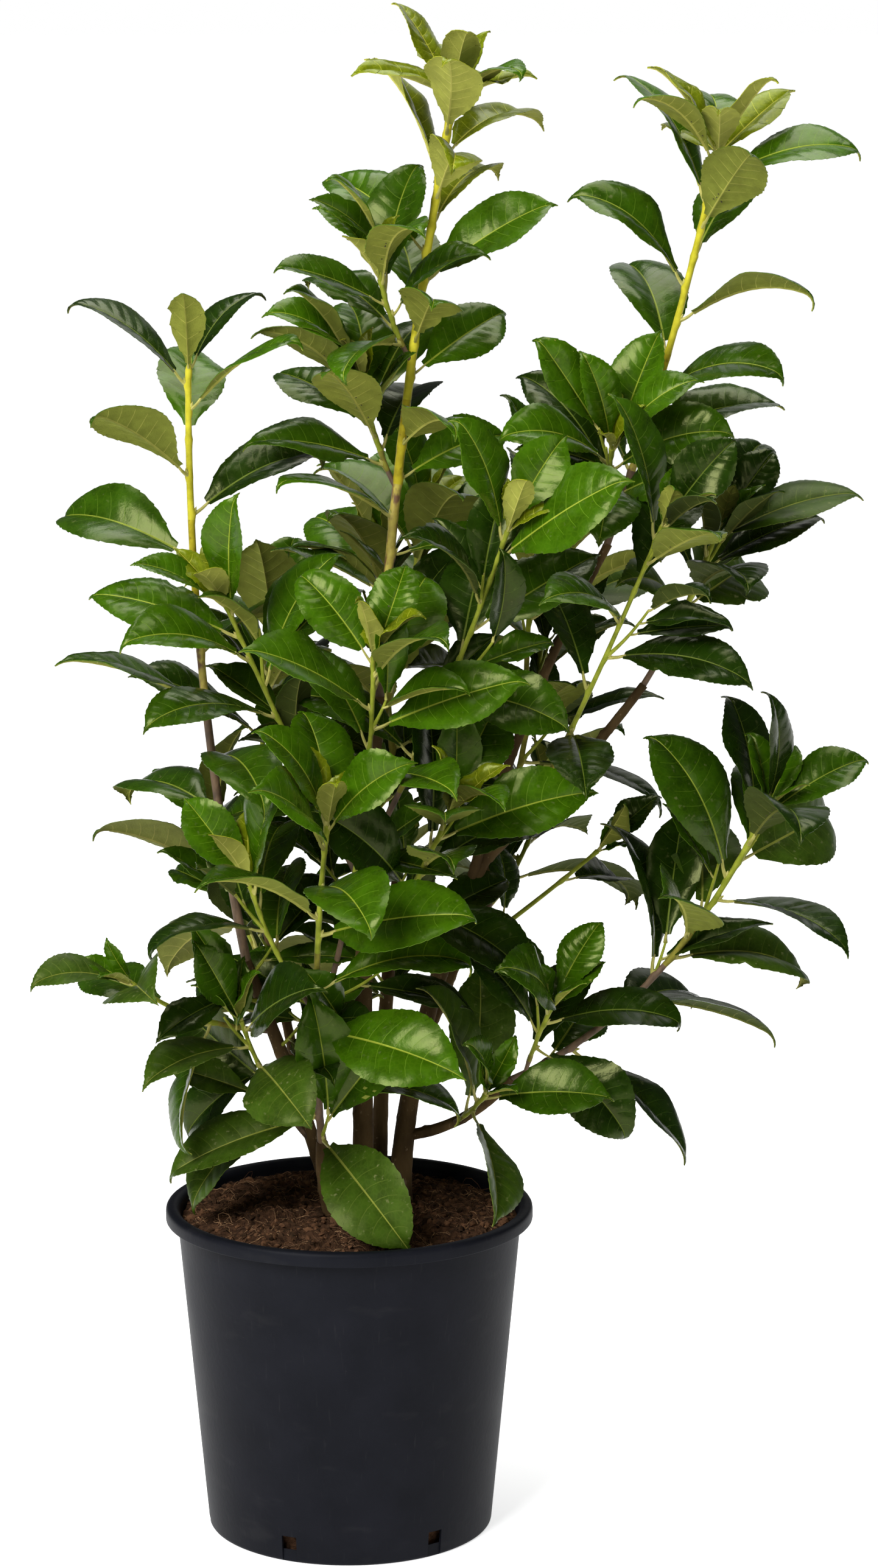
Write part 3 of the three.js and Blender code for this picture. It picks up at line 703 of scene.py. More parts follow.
def blade_traits(seed):
    """One blade's twist, sweep, hooked tip, waves, curl, outline, bulges, dents and perhaps a bite."""
    rng = np.random.default_rng(seed)
    own = Sizes(**{trait: rng.uniform(*reach) for trait, reach in TRAITS.items()})
    own.hook = math.radians(own.hook if own.hooked < LITTLE_HOOKED else own.far_hook)
    own.bite = rng.uniform(*BITE_PLACE) if own.bitten < BITTEN else UNBITTEN
    own.bite_side = rng.choice([-1, 1])
    return own


def outline(share, widest, roundness):
    """The blade's half width along its rib, as a share of the widest: a full oval with a short point."""
    oval = np.sin(math.pi * np.minimum(share / BLADE.oval, 1) ** widest) ** roundness
    width, reach = BLADE.point
    return np.maximum(oval, width * np.clip((1 - share) / reach, 0, 1))


def blade(pile, pose):
    """One leaf blade as a closed shell: upper side, underside and the thin edge between them."""
    columns = BLADE.small_columns if pose.small else BLADE.columns
    veins = BLADE.small_veins if pose.small else BLADE.veins
    own = blade_traits(pose.seed + SEEDS.blade)
    length = pose.length
    starts, edges, rises, teeth = (row[:, None] for row in blade_rows(veins))
    out = np.concatenate([columns[::-1], [0], columns])
    sides = np.repeat([-1, 0, 1], [len(columns), 1, len(columns)])
    vein = edges * BLADE.vein_half * (1 - BLADE.vein_taper * out) / length
    share = np.clip(starts + BLADE.forward * starts * (1 - starts) * out ** BLADE.curve + vein, *BLADE.ends)
    arched = np.sin(math.pi * share)
    half = length * pose.width * outline(share, own.widest, own.roundness)
    rib = lerp(*BLADE.rib_half, share) * length / BLADE.usual
    toothed = (out == 1) * teeth * BLADE.tooth * (share < BLADE.toothed)
    deep, broad = BLADE.bite
    notch = deep * np.exp(-((share - own.bite) * length / broad) ** 2) * (sides == own.bite_side)
    spread = rib + out * np.maximum(half - rib, BLADE.least) + toothed
    spread = np.maximum(spread - notch * out ** BLADE.bite_taper, rib)
    lift = half * math.sin(pose.fold) * (BLADE.fold_rise * out - BLADE.fold_flat * out ** 3)
    phase = np.where(sides > 0, own.phase, own.other_phase)
    rippled = own.wave * np.sin(2 * math.pi * (own.waves * share + phase)) * out ** 2
    swollen = own.bulge * rises * BLADE.swell * np.sqrt(out) * (1 - out)
    cell = 1 / (BLADE.dent_size * DENTS.cells_u)
    rough = own.dent * DENTS(own.dent_u + share * length * cell, own.dent_v + sides * spread * cell)
    swollen = swollen + rough * np.minimum(1, BLADE.dent_from * out) * arched + own.curl * half * out ** 3
    centre = sides == 0
    upper = lift + rippled * arched + swollen - BLADE.groove * centre
    under = upper - BLADE.thickness - BLADE.vein_depth * np.abs(edges) * (out < BLADE.vein_reach)
    under = under - np.where(centre, lerp(*BLADE.rib_depth, share) * length / BLADE.usual, 0)
    turned = math.radians(own.twist) * share
    level = sides * spread * math.cos(BLADE.fold_narrow * pose.fold)
    firsts = []
    for height in (upper, under):
        wide = level * np.cos(turned) - height * np.sin(turned) + own.sweep * length * share ** 2
        high = level * np.sin(turned) + height * np.cos(turned)
        firsts.append(pile.add(on_rib(pose, share, wide, high, own.hook)))
    rows, columns = share.shape
    first, below = firsts
    veined = (edges[:-1] < 0) & (edges[1:] > 0) & ((out[:-1] + out[1:]) / 2 < BLADE.vein_reach)
    ribbed = np.broadcast_to((centre[:-1] | centre[1:]), veined.shape)
    faces = grid_faces(rows, columns, first)
    corners = grid_corners(rows, columns)
    pile.skin(faces, corners, np.where(ribbed, RIB, np.where(veined, VEIN, UPPER)).ravel())
    flipped = grid_faces(rows, columns, below)[:, ::-1]
    pile.skin(flipped, corners[:, ::-1], np.where(ribbed | veined, UNDER_RIB, UNDER).ravel())
    blade_edge(pile, rows, columns, first, below)


def on_rib(pose, share, wide, high, hook):
    """Points of the blade, from their place along the rib, across it and above it."""
    fine = np.linspace(0, 1, BLADE.rib_points)
    hooked = smooth((fine - BLADE.hook_from) / BLADE.hook_over) ** 2
    bends = pose.arch * fine ** LEAF.rib_power + hook * hooked
    middle = (bends[1:] + bends[:-1]) / 2
    step = pose.length / (len(fine) - 1)
    run = np.interp(share, fine, np.concatenate([[0], np.cumsum(np.cos(middle))]) * step)
    drop = np.interp(share, fine, np.concatenate([[0], np.cumsum(np.sin(middle))]) * step)
    bend = np.interp(share, fine, bends)
    x = run + high * np.sin(bend)
    z = high * np.cos(bend) - drop
    side = np.cross(pose.along, pose.normal)
    foot = pose.root + pose.along * pose.stalk
    return foot + x[..., None] * pose.along + wide[..., None] * side + z[..., None] * pose.normal


def blade_edge(pile, rows, columns, first, below):
    """The thin edge all round a blade, between the outer points of its two sides."""
    row = np.arange(rows) * columns
    column = np.arange(columns)
    loop = np.concatenate([column, row[1:] + columns - 1, row[-1] + column[-2::-1], row[-2:0:-1]])
    following = np.roll(loop, -1)
    faces = np.stack([first + following, first + loop, below + loop, below + following], -1)
    pile.skin(faces, np.full((len(faces), 4, 2), 0.5), VEIN, own_cell=False)


def add_foliage(leaves):
    """The blades, joined by tint into pieces."""
    for tint in TINTS:
        paints = leaf_paints(tint)
        own = [leaf for leaf in leaves if leaf.tint == tint]
        for number, start in enumerate(range(0, len(own), LEAVES_PER_PIECE)):
            pile = Pile()
            for leaf in own[start:start + LEAVES_PER_PIECE]:
                blade(pile, leaf)
            pile.build(f"leaves_{tint}_{number + 1}", paints)


# Young leaves, which stand at each shoot's tip and on the finer twigs that some leaf axils and limbs carry
SMALL = Sizes(stalk=5, arch=[10, 40], fold=[18, 34], width=[0.19, 0.25])
TIP_LEAVES = Sizes(count=3, length=[0.32, 0.56], lean=[12, 30])
LEADER_TIPS = Sizes(count=5, length=[0.55, 0.85], lean=[14, 76])
# darker is the share of a sprig's leaves that take the next darker tint, as painted shade inside the crown
SPRIG = Sizes(every=3, from_age=0.15, along=0.75, upright=0.8, rise=0.35, length=[24, 62], sag=0.1, leaves=3,
              leafy=0.65, lean=[22, 58], leaf=[0.58, 0.88], darker=0.6, radius=1.2, taper=[1.4, 0.8], sides=7,
              rings=8, clear=7, margin=8)
LIMB_SPRIGS = Sizes(limbs=["trunk_middle", "stem_left", "stem_back", "bough_left_fork", "bough_back_left"],
                    places=[0.5, 0.97, 0.09], upright=0.6, turn=50, leaf=104, tint="mid")
# The places on a leaf, along its rib and across it, that other leaves keep clear of
SPOTS = np.meshgrid([0.25, 0.45, 0.65, 0.85, 1], [-0.7, 0, 0.7], indexing="ij")


def leaf_spots(leaf):
    share, aside = SPOTS
    wide = aside * leaf.length * leaf.width * np.sin(math.pi * share)
    return on_rib(leaf, share, wide, np.abs(wide) * math.sin(leaf.fold), 0).reshape(-1, 3)


def small_leaf(root, along, facing, length, seed, tint):
    """A young leaf: shorter, narrower and more folded than a grown one."""
    rng = np.random.default_rng(seed)
    normal = unit(facing - facing.dot(along) * along)
    return Sizes(
        small=True, stalk=SMALL.stalk, seed=seed, tint=tint, length=length,
        root=root, along=along, normal=normal,
        arch=math.radians(rng.uniform(*SMALL.arch)),
        fold=math.radians(rng.uniform(*SMALL.fold)),
        width=rng.uniform(*SMALL.width),
    )


def grow_tip_leaves(paths):
    """The young leaves that unfold at the end of every shoot."""
    grown = []
    for order, shoot in enumerate(SHOOTS):
        path = paths[shoot.name]
        kind = LEADER_TIPS if shoot.leader else TIP_LEAVES
        tint = "young" if shoot.tints[0] in ("young", "fresh") else "fresh"
        for index in range(kind.count if shoot.tips is None else shoot.tips):
            seed = SEEDS.tip_leaf + order * 10 + index
            rng = np.random.default_rng(seed)
            lean = lerp(*kind.lean, (index + rng.uniform()) / kind.count)
            along, outward = splay(path.tangent(1), shoot.turn - GOLDEN_TURN * (index + 1), lean)
            length = shoot.leaf * rng.uniform(*kind.length)
            grown.append(small_leaf(path.point(1), unit(along), LIGHT - outward, length, seed, tint))
    return grown


def sprig_buds(leaves, paths):
    """Where finer twigs start: in some leaf axils of every mass, and along the limbs inside the crown."""
    buds = []
    for leaf in leaves:
        resting = leaf.shoot.name in PLAIN_SHOOTS or leaf.seed % SPRIG.every
        if not resting and leaf.age > SPRIG.from_age:
            heading = SPRIG.along * leaf.along + SPRIG.upright * leaf.tangent + [0, 0, SPRIG.rise]
            buds.append(Sizes(root=leaf.root, heading=unit(heading), box=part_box(leaf.shoot.mass),
                              length=leaf.length, tint=leaf.tint, seed=leaf.seed))
    for order, name in enumerate(LIMB_SPRIGS.limbs):
        path = paths[name]
        for index, place in enumerate(np.arange(*LIMB_SPRIGS.places)):
            tangent = path.tangent(place)
            _, outward = splay(tangent, GOLDEN_TURN * index + LIMB_SPRIGS.turn * order, 90)
            heading = unit(LIMB_SPRIGS.upright * tangent + outward)
            buds.append(Sizes(root=path.point(place), heading=heading, box=cad_box, length=LIMB_SPRIGS.leaf,
                              tint=LIMB_SPRIGS.tint, seed=SEEDS.limb_sprig + order * 100 + index))
    return buds


def grow_sprigs(leaves, paths, twigs):
    """Finer side twigs, with leaves where there is room for them."""
    grown = []
    taken = np.concatenate([leaf_spots(leaf) for leaf in leaves])
    for bud in sprig_buds(leaves, paths):
        rng = np.random.default_rng(bud.seed + SEEDS.sprig)
        reach = rng.uniform(*SPRIG.length)
        stem = Path(bud.root, bud.root + bud.heading * reach, [0, 0, -SPRIG.sag * reach])
        low, high = (np.array(corner) / MM for corner in bud.box)
        kept = []
        for index in range(SPRIG.leaves):
            age = index / SPRIG.leaves
            turn = GOLDEN_TURN * index + math.degrees(rng.uniform(0, 6))
            along, _ = splay(bud.heading, turn, lerp(*SPRIG.lean, age))
            length = bud.length * rng.uniform(*SPRIG.leaf)
            # Painted shade: most leaves of a sprig inside the crown take the next darker tint
            tint = PAINTED_SHADE_TINT[bud.tint] if rng.uniform() < SPRIG.darker else bud.tint
            root = stem.point(1 - SPRIG.leafy * age)
            seed = bud.seed * 10 + SEEDS.sprig_leaf + index
            fine = small_leaf(root, unit(along), bud.heading + LIGHT, length, seed, tint)
            spots = leaf_spots(fine)
            inside = (spots > low + SPRIG.margin).all() and (spots < high - SPRIG.margin).all()
            above = spots[:, 2].min() > POT.height + SPRIG.margin
            if inside and above and np.linalg.norm(taken[:, None] - spots, axis=2).min() > SPRIG.clear:
                taken = np.concatenate([taken, spots])
                kept.append(fine)
        if kept:
            shares = np.linspace(0, 1, SPRIG.rings)
            radii = lerp(*SPRIG.taper, shares) * SPRIG.radius
            tube(twigs, stem.point(shares), radii, SPRIG.sides, SHOOT_GREEN)
        grown += kept
    return grown


# A twig's colours from its foot to its tip: brown over its wood, then by these shares beyond that
TWIG_BANDS = np.array([0, 0.16, 0.3])
SHOOT_GREEN = 5
# The paints of these bands on the leaders, which are yellow, and on the other shoots
LEADER_PAINTS = np.array([0, 1, 2, 3])
SHOOT_PAINTS = np.array([0, 4, 5, 5])
TWIG = Sizes(sides=12, step=4, least_steps=12, node_swell=0.7, node_reach=3, zigzag=0.9, leader_slim=0.88,
             slim=0.78)
END_BUD = Sizes(length=7, sunk=0.3, radii=np.array([0.9, 0.95, 0.85, 0.62, 0.35, 0.06]), sides=8)


def twig_paints():
    """Brown wood, the leaders' mottled, olive and yellow wood, and the other shoots' greener wood."""
    green = {"Specular_IOR_Level": 0.2, "Specular_Tint": (1, 0.95, 0.2, 1)}
    patches = [
        {"mark": (0.1, 0.04, 0.014), "scale": 130, "start": 0.5, "strength": 0.95, "stretch": (1, 1, 0.6)},
    ]
    specks = [{"mark": (0.12, 0.06, 0.018), "scale": 210, "start": 0.6, "strength": 0.7}]
    return [
        paint("twig_brown", [(0.05, 0.028, 0.012), (0.15, 0.09, 0.045)], scale=160, rough=(0.6, 0.8),
              relief=(0.5, 500), stretch=(1, 1, 0.5)),
        paint("twig_mottled", [(0.26, 0.2, 0.025), (0.4, 0.33, 0.045)], scale=150, rough=(0.5, 0.7),
              relief=(0.35, 500), marks=patches),
        paint("twig_olive", [(0.26, 0.21, 0.012), (0.42, 0.35, 0.02)], scale=130, rough=(0.42, 0.55),
              relief=(0.2, 500), marks=specks, **green),
        paint("twig_green", [(0.32, 0.29, 0.016), (0.52, 0.47, 0.034)], scale=110, rough=(0.36, 0.5),
              relief=(0.15, 500), **green),
        paint("shoot_olive", [(0.11, 0.1, 0.018), (0.21, 0.19, 0.03)], scale=150, rough=(0.45, 0.6),
              relief=(0.25, 500), marks=specks, **green),
        paint("shoot_green", [(0.15, 0.18, 0.016), (0.27, 0.3, 0.034)], scale=120, rough=(0.38, 0.52),
              relief=(0.15, 500), **green),
    ]


def add_twig(pile, shoot, path, leaves):
    """A shoot's twig: tapering, swollen and a little bent at each leaf, and ending in a bud."""
    length = path.length()
    shares = np.linspace(0, 1, max(TWIG.least_steps, round(length / TWIG.step)) + 1)
    swell = np.zeros(len(shares))
    centres = path.point(shares)
    for leaf in leaves:
        near = np.exp(-(((shares - leaf.place) * length) / TWIG.node_reach) ** 2)
        swell = np.maximum(swell, TWIG.node_swell * near)
        centres = centres + TWIG.zigzag * near[:, None] * leaf.along
    slim, paints = (TWIG.leader_slim, LEADER_PAINTS) if shoot.leader else (TWIG.slim, SHOOT_PAINTS)
    radii = lerp(*shoot.radii, shares) * slim + swell
    bands = np.searchsorted(shoot.wood + TWIG_BANDS, (shares[1:] + shares[:-1]) / 2)
    tube(pile, centres, radii, TWIG.sides, paints[bands])
    stations = np.linspace(-END_BUD.sunk, 1, len(END_BUD.radii))[:, None]
    end = path.point(1) + path.tangent(1) * END_BUD.length * stations
    tube(pile, end, END_BUD.radii * shoot.radii[1], END_BUD.sides, paints[-1])


# Leaf stalks, the bud in the angle of each, and the glands under the blade
STALK = Sizes(into_blade=0.03, sag=1.2, radii=np.array([1.9, 1.6, 1.35, 1.25, 1.15, 0.8]), least=0.6, sides=6)
AXIL_BUD = Sizes(upright=1.4, out=0.8, length=5.5, radii=[1.1, 1.5, 1.5, 1.15, 0.7, 0.1], sides=6)
GLAND = Sizes(none=0.4, count=[3, 7], place=[0.08, 0.4], aside=[1.8, 4], sunk=0.5, depth=0.5, waist=0.6,
              radii=[0.55, 0.5, 0.25], sides=6)


def add_stalks(leaves):
    """Leaf stalks, with the bud that sits in the angle of each."""
    stalks = Pile()
    shares = np.linspace(0, 1, len(STALK.radii))
    for leaf in leaves:
        size = leaf.length / BLADE.usual
        reach = leaf.stalk + STALK.into_blade * leaf.length
        sag = leaf.normal * -STALK.sag * np.sin(math.pi * shares)[:, None] * size
        centres = leaf.root + leaf.along * reach * shares[:, None] + sag
        tube(stalks, centres, STALK.radii * max(STALK.least, size), STALK.sides)
        if leaf.small:
            continue
        heading = unit(leaf.along + AXIL_BUD.upright * leaf.tangent)
        start = leaf.root + leaf.along * np.mean(leaf.shoot.radii) * AXIL_BUD.out
        tube(stalks, start + heading * AXIL_BUD.length * shares[:, None], AXIL_BUD.radii, AXIL_BUD.sides)
    pale = paint("stalk", [(0.25, 0.24, 0.05), (0.42, 0.39, 0.11)], scale=120, rough=(0.4, 0.55),
                 relief=(0.15, 500), Specular_IOR_Level=0.2)
    stalks.build("leaf_stalks", [pale])


def add_glands(leaves):
    """The small dark glands beside the rib on the undersides."""
    glands = Pile()
    for leaf in leaves:
        rng = np.random.default_rng(leaf.seed + SEEDS.glands)
        if rng.uniform() < GLAND.none:
            continue
        for _ in range(rng.integers(*GLAND.count)):
            share = np.array([rng.uniform(*GLAND.place)])
            wide = np.array([rng.choice([-1, 1]) * rng.uniform(*GLAND.aside)])
            height = np.abs(wide) * math.sin(leaf.fold) * BLADE.fold_rise - GLAND.sunk
            spot = on_rib(leaf, share, wide, height, 0)[0]
            top = on_rib(leaf, share, wide, height - GLAND.depth, 0)[0]
            tube(glands, [spot, lerp(spot, top, GLAND.waist), top], GLAND.radii, GLAND.sides)
    dark = paint("gland", [(0.02, 0.014, 0.008), (0.05, 0.035, 0.016)], scale=300, rough=(0.5, 0.7),
                 Specular_IOR_Level=0.3)
    glands.build("leaf_glands", [dark])


# Bark: long ridges and a fine grain, by their number round a limb and their length
BARK = Sizes(sides=28, step=2.4, least_steps=24, sunk=10, ridge=0.06, ridges=7, ridge_length=40,
             least_ridges=3, grain=0.22, grains=18, grain_length=5, least_grains=8)
# Small corky spots, and a few old leaf scars, one to so many millimetres of a limb
BARK_MARKS = [
    Sizes(height=0.45, wide=0.9, tall=1.5, every=5),
    Sizes(height=1.1, wide=3.5, tall=2.2, every=60),
]


def bark_paint():
    spots = {"mark": (0.24, 0.17, 0.1), "scale": 380, "start": 0.64, "strength": 0.6, "stretch": (1, 1, 0.6)}
    return paint("bark", [(0.03, 0.018, 0.007), (0.1, 0.063, 0.026)], scale=55, rough=(0.7, 0.9),
                 relief=(0.6, 420), stretch=(1, 1, 0.35), detail=6, marks=[spots], Specular_IOR_Level=0.05)


def add_limb(limb, path, seed, bark):
    """A stem or bough with its bark's relief, in place of the plain solid."""
    rng = np.random.default_rng(seed)
    length = path.length()
    shares = np.linspace(0, 1, max(BARK.least_steps, round(length / BARK.step)) + 1)
    centres = path.point(shares)
    v, u = np.meshgrid(shares, np.arange(BARK.sides) / BARK.sides, indexing="ij")
    radii = lerp(*limb.radii, v)
    if limb.base:
        centres[0] -= [0, 0, BARK.sunk]
        radii = radii * (1 + FLARE.share * np.exp(-v * length / FLARE.height))
    ridges = Lattice(seed, BARK.ridges, max(BARK.least_ridges, round(length / BARK.ridge_length)))
    grains = Lattice(seed + 1, BARK.grains, max(BARK.least_grains, round(length / BARK.grain_length)))
    radii = radii * (1 + BARK.ridge * ridges(u, v)) + BARK.grain * grains(u, v)
    girth = 2 * math.pi * np.mean(limb.radii)
    for mark in BARK_MARKS:
        for _ in range(round(length / mark.every)):
            turn, place = rng.uniform(0, 1, 2)
            aside = (np.abs(u - turn + 0.5) % 1 - 0.5) * girth / mark.wide
            radii = radii + mark.height * np.exp(-aside ** 2 - ((v - place) * length / mark.tall) ** 2)
    pile = Pile()
    tube(pile, centres, radii, BARK.sides)
    pile.build(f"bark_{limb.name}", [bark], [limb.name])


# The pot's mesh: its sides, its wall's rings, the ring at its axis, a sharp edge's angle and an arc's points
SHELL = Sizes(sides=160, wall_rings=12, axis=0.5, sharp=35, bend=5)


def rounded(corners):
    """A profile whose corners, given as radius, height and fillet, are turned into arcs."""
    profile = []
    for before, corner, after in zip(corners[:-2], corners[1:-1], corners[2:]):
        here = np.array(corner[:2], float)
        back = unit(np.array(before[:2]) - here)
        ahead = unit(np.array(after[:2]) - here)
        fillet = corner[2]
        for share in np.linspace(0, 1, SHELL.bend):
            left = here + back * fillet * (1 - share)
            right = here + ahead * fillet * share
            profile.append(lerp(left, right, share))
    return [corners[0][:2], *profile, corners[-1][:2]]


def add_pot():
    """The nursery pot: one turned shell with a rolled rim, pierced by its drainage holes."""
    rim, top, wall, mouth = POT.rim, POT.height, POT.wall, POT.body_top + POT.lip
    drop, crest = top - POT.rim_drop, top - POT.rim_crest
    # Each corner's radius, height and fillet, from the underside over the rim to the inner floor
    profile = rounded([
        (SHELL.axis, 0, 0), (POT.base, 0, 3), (POT.body_top, drop, 1), (mouth, crest, 1),
        (rim - wall, crest, 1), (rim - wall, drop, 0.8), (rim, drop, 0.9), (rim, top, 4.2), (mouth, top, 2.5),
        (POT.body_top - wall, crest - 1, 2), (POT.base - wall, POT.floor, 3), (SHELL.axis, POT.floor, 0),
    ])
    # The wall goes up from the end of the foot's arc, which follows the profile's first point
    foot = SHELL.bend
    stations = np.linspace(0, 1, SHELL.wall_rings + 2)[1:-1, None]
    wall_rings = lerp(np.array(profile[foot]), np.array(profile[foot + 1]), stations)
    profile = [*profile[:foot + 1], *wall_rings, *profile[foot + 1:]]
    shell = Pile()
    lathe(shell, profile, SHELL.sides)
    close_axis(shell, SHELL.sides, len(profile))
    cut_drains(shell.build("nursery_pot", [pot_paint()], ["pot"]))


def drain_cutter(low, high, angle):
    """A box between two corners, turned about the pot's axis."""
    spans = list(zip(low, high))
    corners = np.array([[x, y, z] for x in spans[0] for y in spans[1] for z in spans[2]])
    cos, sin = math.cos(angle), math.sin(angle)
    turned = corners @ np.array([[cos, sin, 0], [-sin, cos, 0], [0, 0, 1]])
    faces = [(0, 1, 3, 2), (4, 6, 7, 5), (0, 4, 5, 1), (2, 3, 7, 6), (0, 2, 6, 4), (1, 5, 7, 3)]
    mesh = bpy.data.meshes.new("cutter")
    mesh.from_pydata((turned * MM).tolist(), [], faces)
    return put("cutter", mesh)


def cut_drains(pot):
    """Cuts the holes through the wall near the foot and the shallow recess below each of them."""
    half, deep = DRAIN.width / 2, DRAIN.depth / 2
    outer = POT.base + deep
    cutters = []
    for hole in range(DRAIN.count):
        angle = math.radians(DRAIN.first - 90 + 360 / DRAIN.count * hole)
        cutters.append(drain_cutter((POT.base - deep, -half, DRAIN.sill), (outer, half, DRAIN.top), angle))
        recess = POT.base - DRAIN.recess
        cutters.append(drain_cutter((recess, -half, -DRAIN.below), (outer, half, DRAIN.sill + 1), angle))
    for cutter in cutters:
        cut = pot.modifiers.new("cut", "BOOLEAN")
        cut.operation = "DIFFERENCE"
        cut.object = cutter
    bpy.context.view_layer.update()
    whole = bpy.data.meshes.new_from_object(pot.evaluated_get(bpy.context.evaluated_depsgraph_get()))
    pot.modifiers.clear()
    pot.data = whole
    whole.shade_smooth()
    whole.set_sharp_from_angle(angle=math.radians(SHELL.sharp))
    for cutter in cutters:
        bpy.data.objects.remove(cutter)


def pot_paint():
    """Dark satin plastic with fine scratches, rubbed patches and specks of dust."""
    dust = (0.07, 0.068, 0.064)
    marks = [
        {"mark": dust, "scale": 420, "start": 0.64, "strength": 0.08, "stretch": (1, 1, 0.06)},
        {"mark": dust, "scale": 18, "start": 0.6, "strength": 0.06, "stretch": (1, 1, 3)},
        {"mark": dust, "scale": 700, "start": 0.72, "strength": 0.4},
    ]
    return paint("pot_plastic", [(0.0042, 0.0047, 0.007), (0.0066, 0.0071, 0.0103)], scale=24,
                 rough=(0.42, 0.56), relief=(0.12, 260), detail=8, marks=marks, Specular_IOR_Level=0.06)


# The compost's surface: clods, lumps and grains on a low mound, smoother at the wall
SOIL = Sizes(rings=90, sectors=300, reach=300, foot=5, axis=0.5, first_ring=0.004, crowding=0.8, smoother=0.6)
SOIL_NOISE = [(Lattice(11, 14, 14), 4.2), (Lattice(12, 34, 34), 2.6), (Lattice(13, 110, 110), 1.5)]
MOUND = Sizes(x=-45, y=35, reach=70, height=5)
# Matted fibres, a few long ones that arch clear of the rest, and crumbs
FIBRES = [
    Sizes(count=1700, length=[4, 19], radius=[0.1, 0.26], rise=[0.2, 2.6]),
    Sizes(count=34, length=[20, 44], radius=[0.16, 0.3], rise=[3, 10]),
]
FIBRE = Sizes(stations=6, sides=3, margin=5, wall=1, bend=1.6, wiggle=0.35, wiggles=[4, 14], lift=0.2)
FIBRE_TINTS = {"tan": (0.26, 0.15, 0.075), "brown": (0.1, 0.05, 0.025), "dark": (0.035, 0.019, 0.011)}
FIBRE_ODDS = [0.26, 0.4, 0.34]
CRUMBS = Sizes(count=1700, size=[0.8, 3.8], smaller=[0.4, 1], margin=4, tilt=[1, 1, 0.3], lift=0.15,
               blunt=0.02, uneven=[0.6, 1.15], long=[0.8, 1.8], rings=4, sides=6)


def inner_radius(height):
    share = (height - POT.floor) / (POT.height - POT.rim_crest - POT.floor)
    return lerp(POT.base, POT.body_top, share) - POT.wall - COMPOST.clear


def soil_height(x, y):
    """The compost's surface: level in the middle, lower at the wall, rough all over."""
    radius = np.hypot(x, y)
    edge = np.clip((radius - COMPOST.flat) / (inner_radius(COMPOST.level) - COMPOST.flat), 0, 1)
    beside = np.hypot(x - MOUND.x, y - MOUND.y) / MOUND.reach
    height = COMPOST.level - COMPOST.edge_drop * edge + MOUND.height * np.exp(-beside ** 2) * (1 - edge)
    for noise, size in SOIL_NOISE:
        height = height + size * noise(x / SOIL.reach, y / SOIL.reach) * (1 - SOIL.smoother * edge)
    return height


def add_compost():
    """The plug of compost, with its rough top."""
    pile = Pile()
    top = inner_radius(COMPOST.level - COMPOST.edge_drop)
    bottom = POT.floor + CLEAR
    radii = top * np.linspace(SOIL.first_ring, 1, SOIL.rings) ** SOIL.crowding
    foot = inner_radius(bottom) - SOIL.foot
    profile = [(SOIL.axis, bottom), (foot, bottom), *((radius, COMPOST.level) for radius in radii[::-1])]
    lathe(pile, profile, SOIL.sectors)
    crown = pile.points[0][2 * SOIL.sectors:]
    crown[:, 2] = soil_height(crown[:, 0], crown[:, 1])
    close_axis(pile, SOIL.sectors, len(profile))
    soil = paint("compost", [(0.018, 0.009, 0.005), (0.08, 0.04, 0.021)], scale=240, rough=(0.85, 1),
                 relief=(1.2, 900), detail=8, Specular_IOR_Level=0.05)
    pile.build("compost_fill", [soil], ["compost"])


def spot_on_soil(rng, margin):
    """A random place on the compost, clear of the pot's wall."""
    radius = (inner_radius(COMPOST.level) - margin) * math.sqrt(rng.uniform())
    turn = rng.uniform(0, 2 * math.pi)
    return radius * math.cos(turn), radius * math.sin(turn)


def add_fibres():
    """Coconut fibres and fine roots that lie on the compost."""
    rng = np.random.default_rng(SEEDS.fibres)
    pile = Pile()
    shares = np.linspace(-0.5, 0.5, FIBRE.stations)
    limit = inner_radius(COMPOST.level) - FIBRE.wall
    for kind in FIBRES:
        for _ in range(kind.count):
            x, y = spot_on_soil(rng, FIBRE.margin)
            turn = rng.uniform(0, 2 * math.pi)
            length = rng.uniform(*kind.length)
            bends = turn + shares * rng.normal(0, FIBRE.bend)
            bends = bends + FIBRE.wiggle * np.sin(shares * rng.uniform(*FIBRE.wiggles))
            xs = x + np.cumsum(np.cos(bends)) * length / len(shares)
            ys = y + np.cumsum(np.sin(bends)) * length / len(shares)
            pull = np.minimum(1, limit / np.hypot(xs, ys))
            rise = rng.uniform(*kind.rise) * np.cos(math.pi * shares)
            heights = soil_height(xs * pull, ys * pull) + FIBRE.lift + rise
            radii = rng.uniform(*kind.radius) * (1 - shares ** 2)
            tint = rng.choice(len(FIBRE_ODDS), p=FIBRE_ODDS)
            tube(pile, np.stack([xs * pull, ys * pull, heights], -1), radii, FIBRE.sides, tint)
    paints = [
        paint(f"fibre_{name}", shades(tint, 0.75, 1.2), scale=150, rough=(0.7, 0.9), Specular_IOR_Level=0.1)
        for name, tint in FIBRE_TINTS.items()
    ]
    pile.build("compost_fibres", paints)


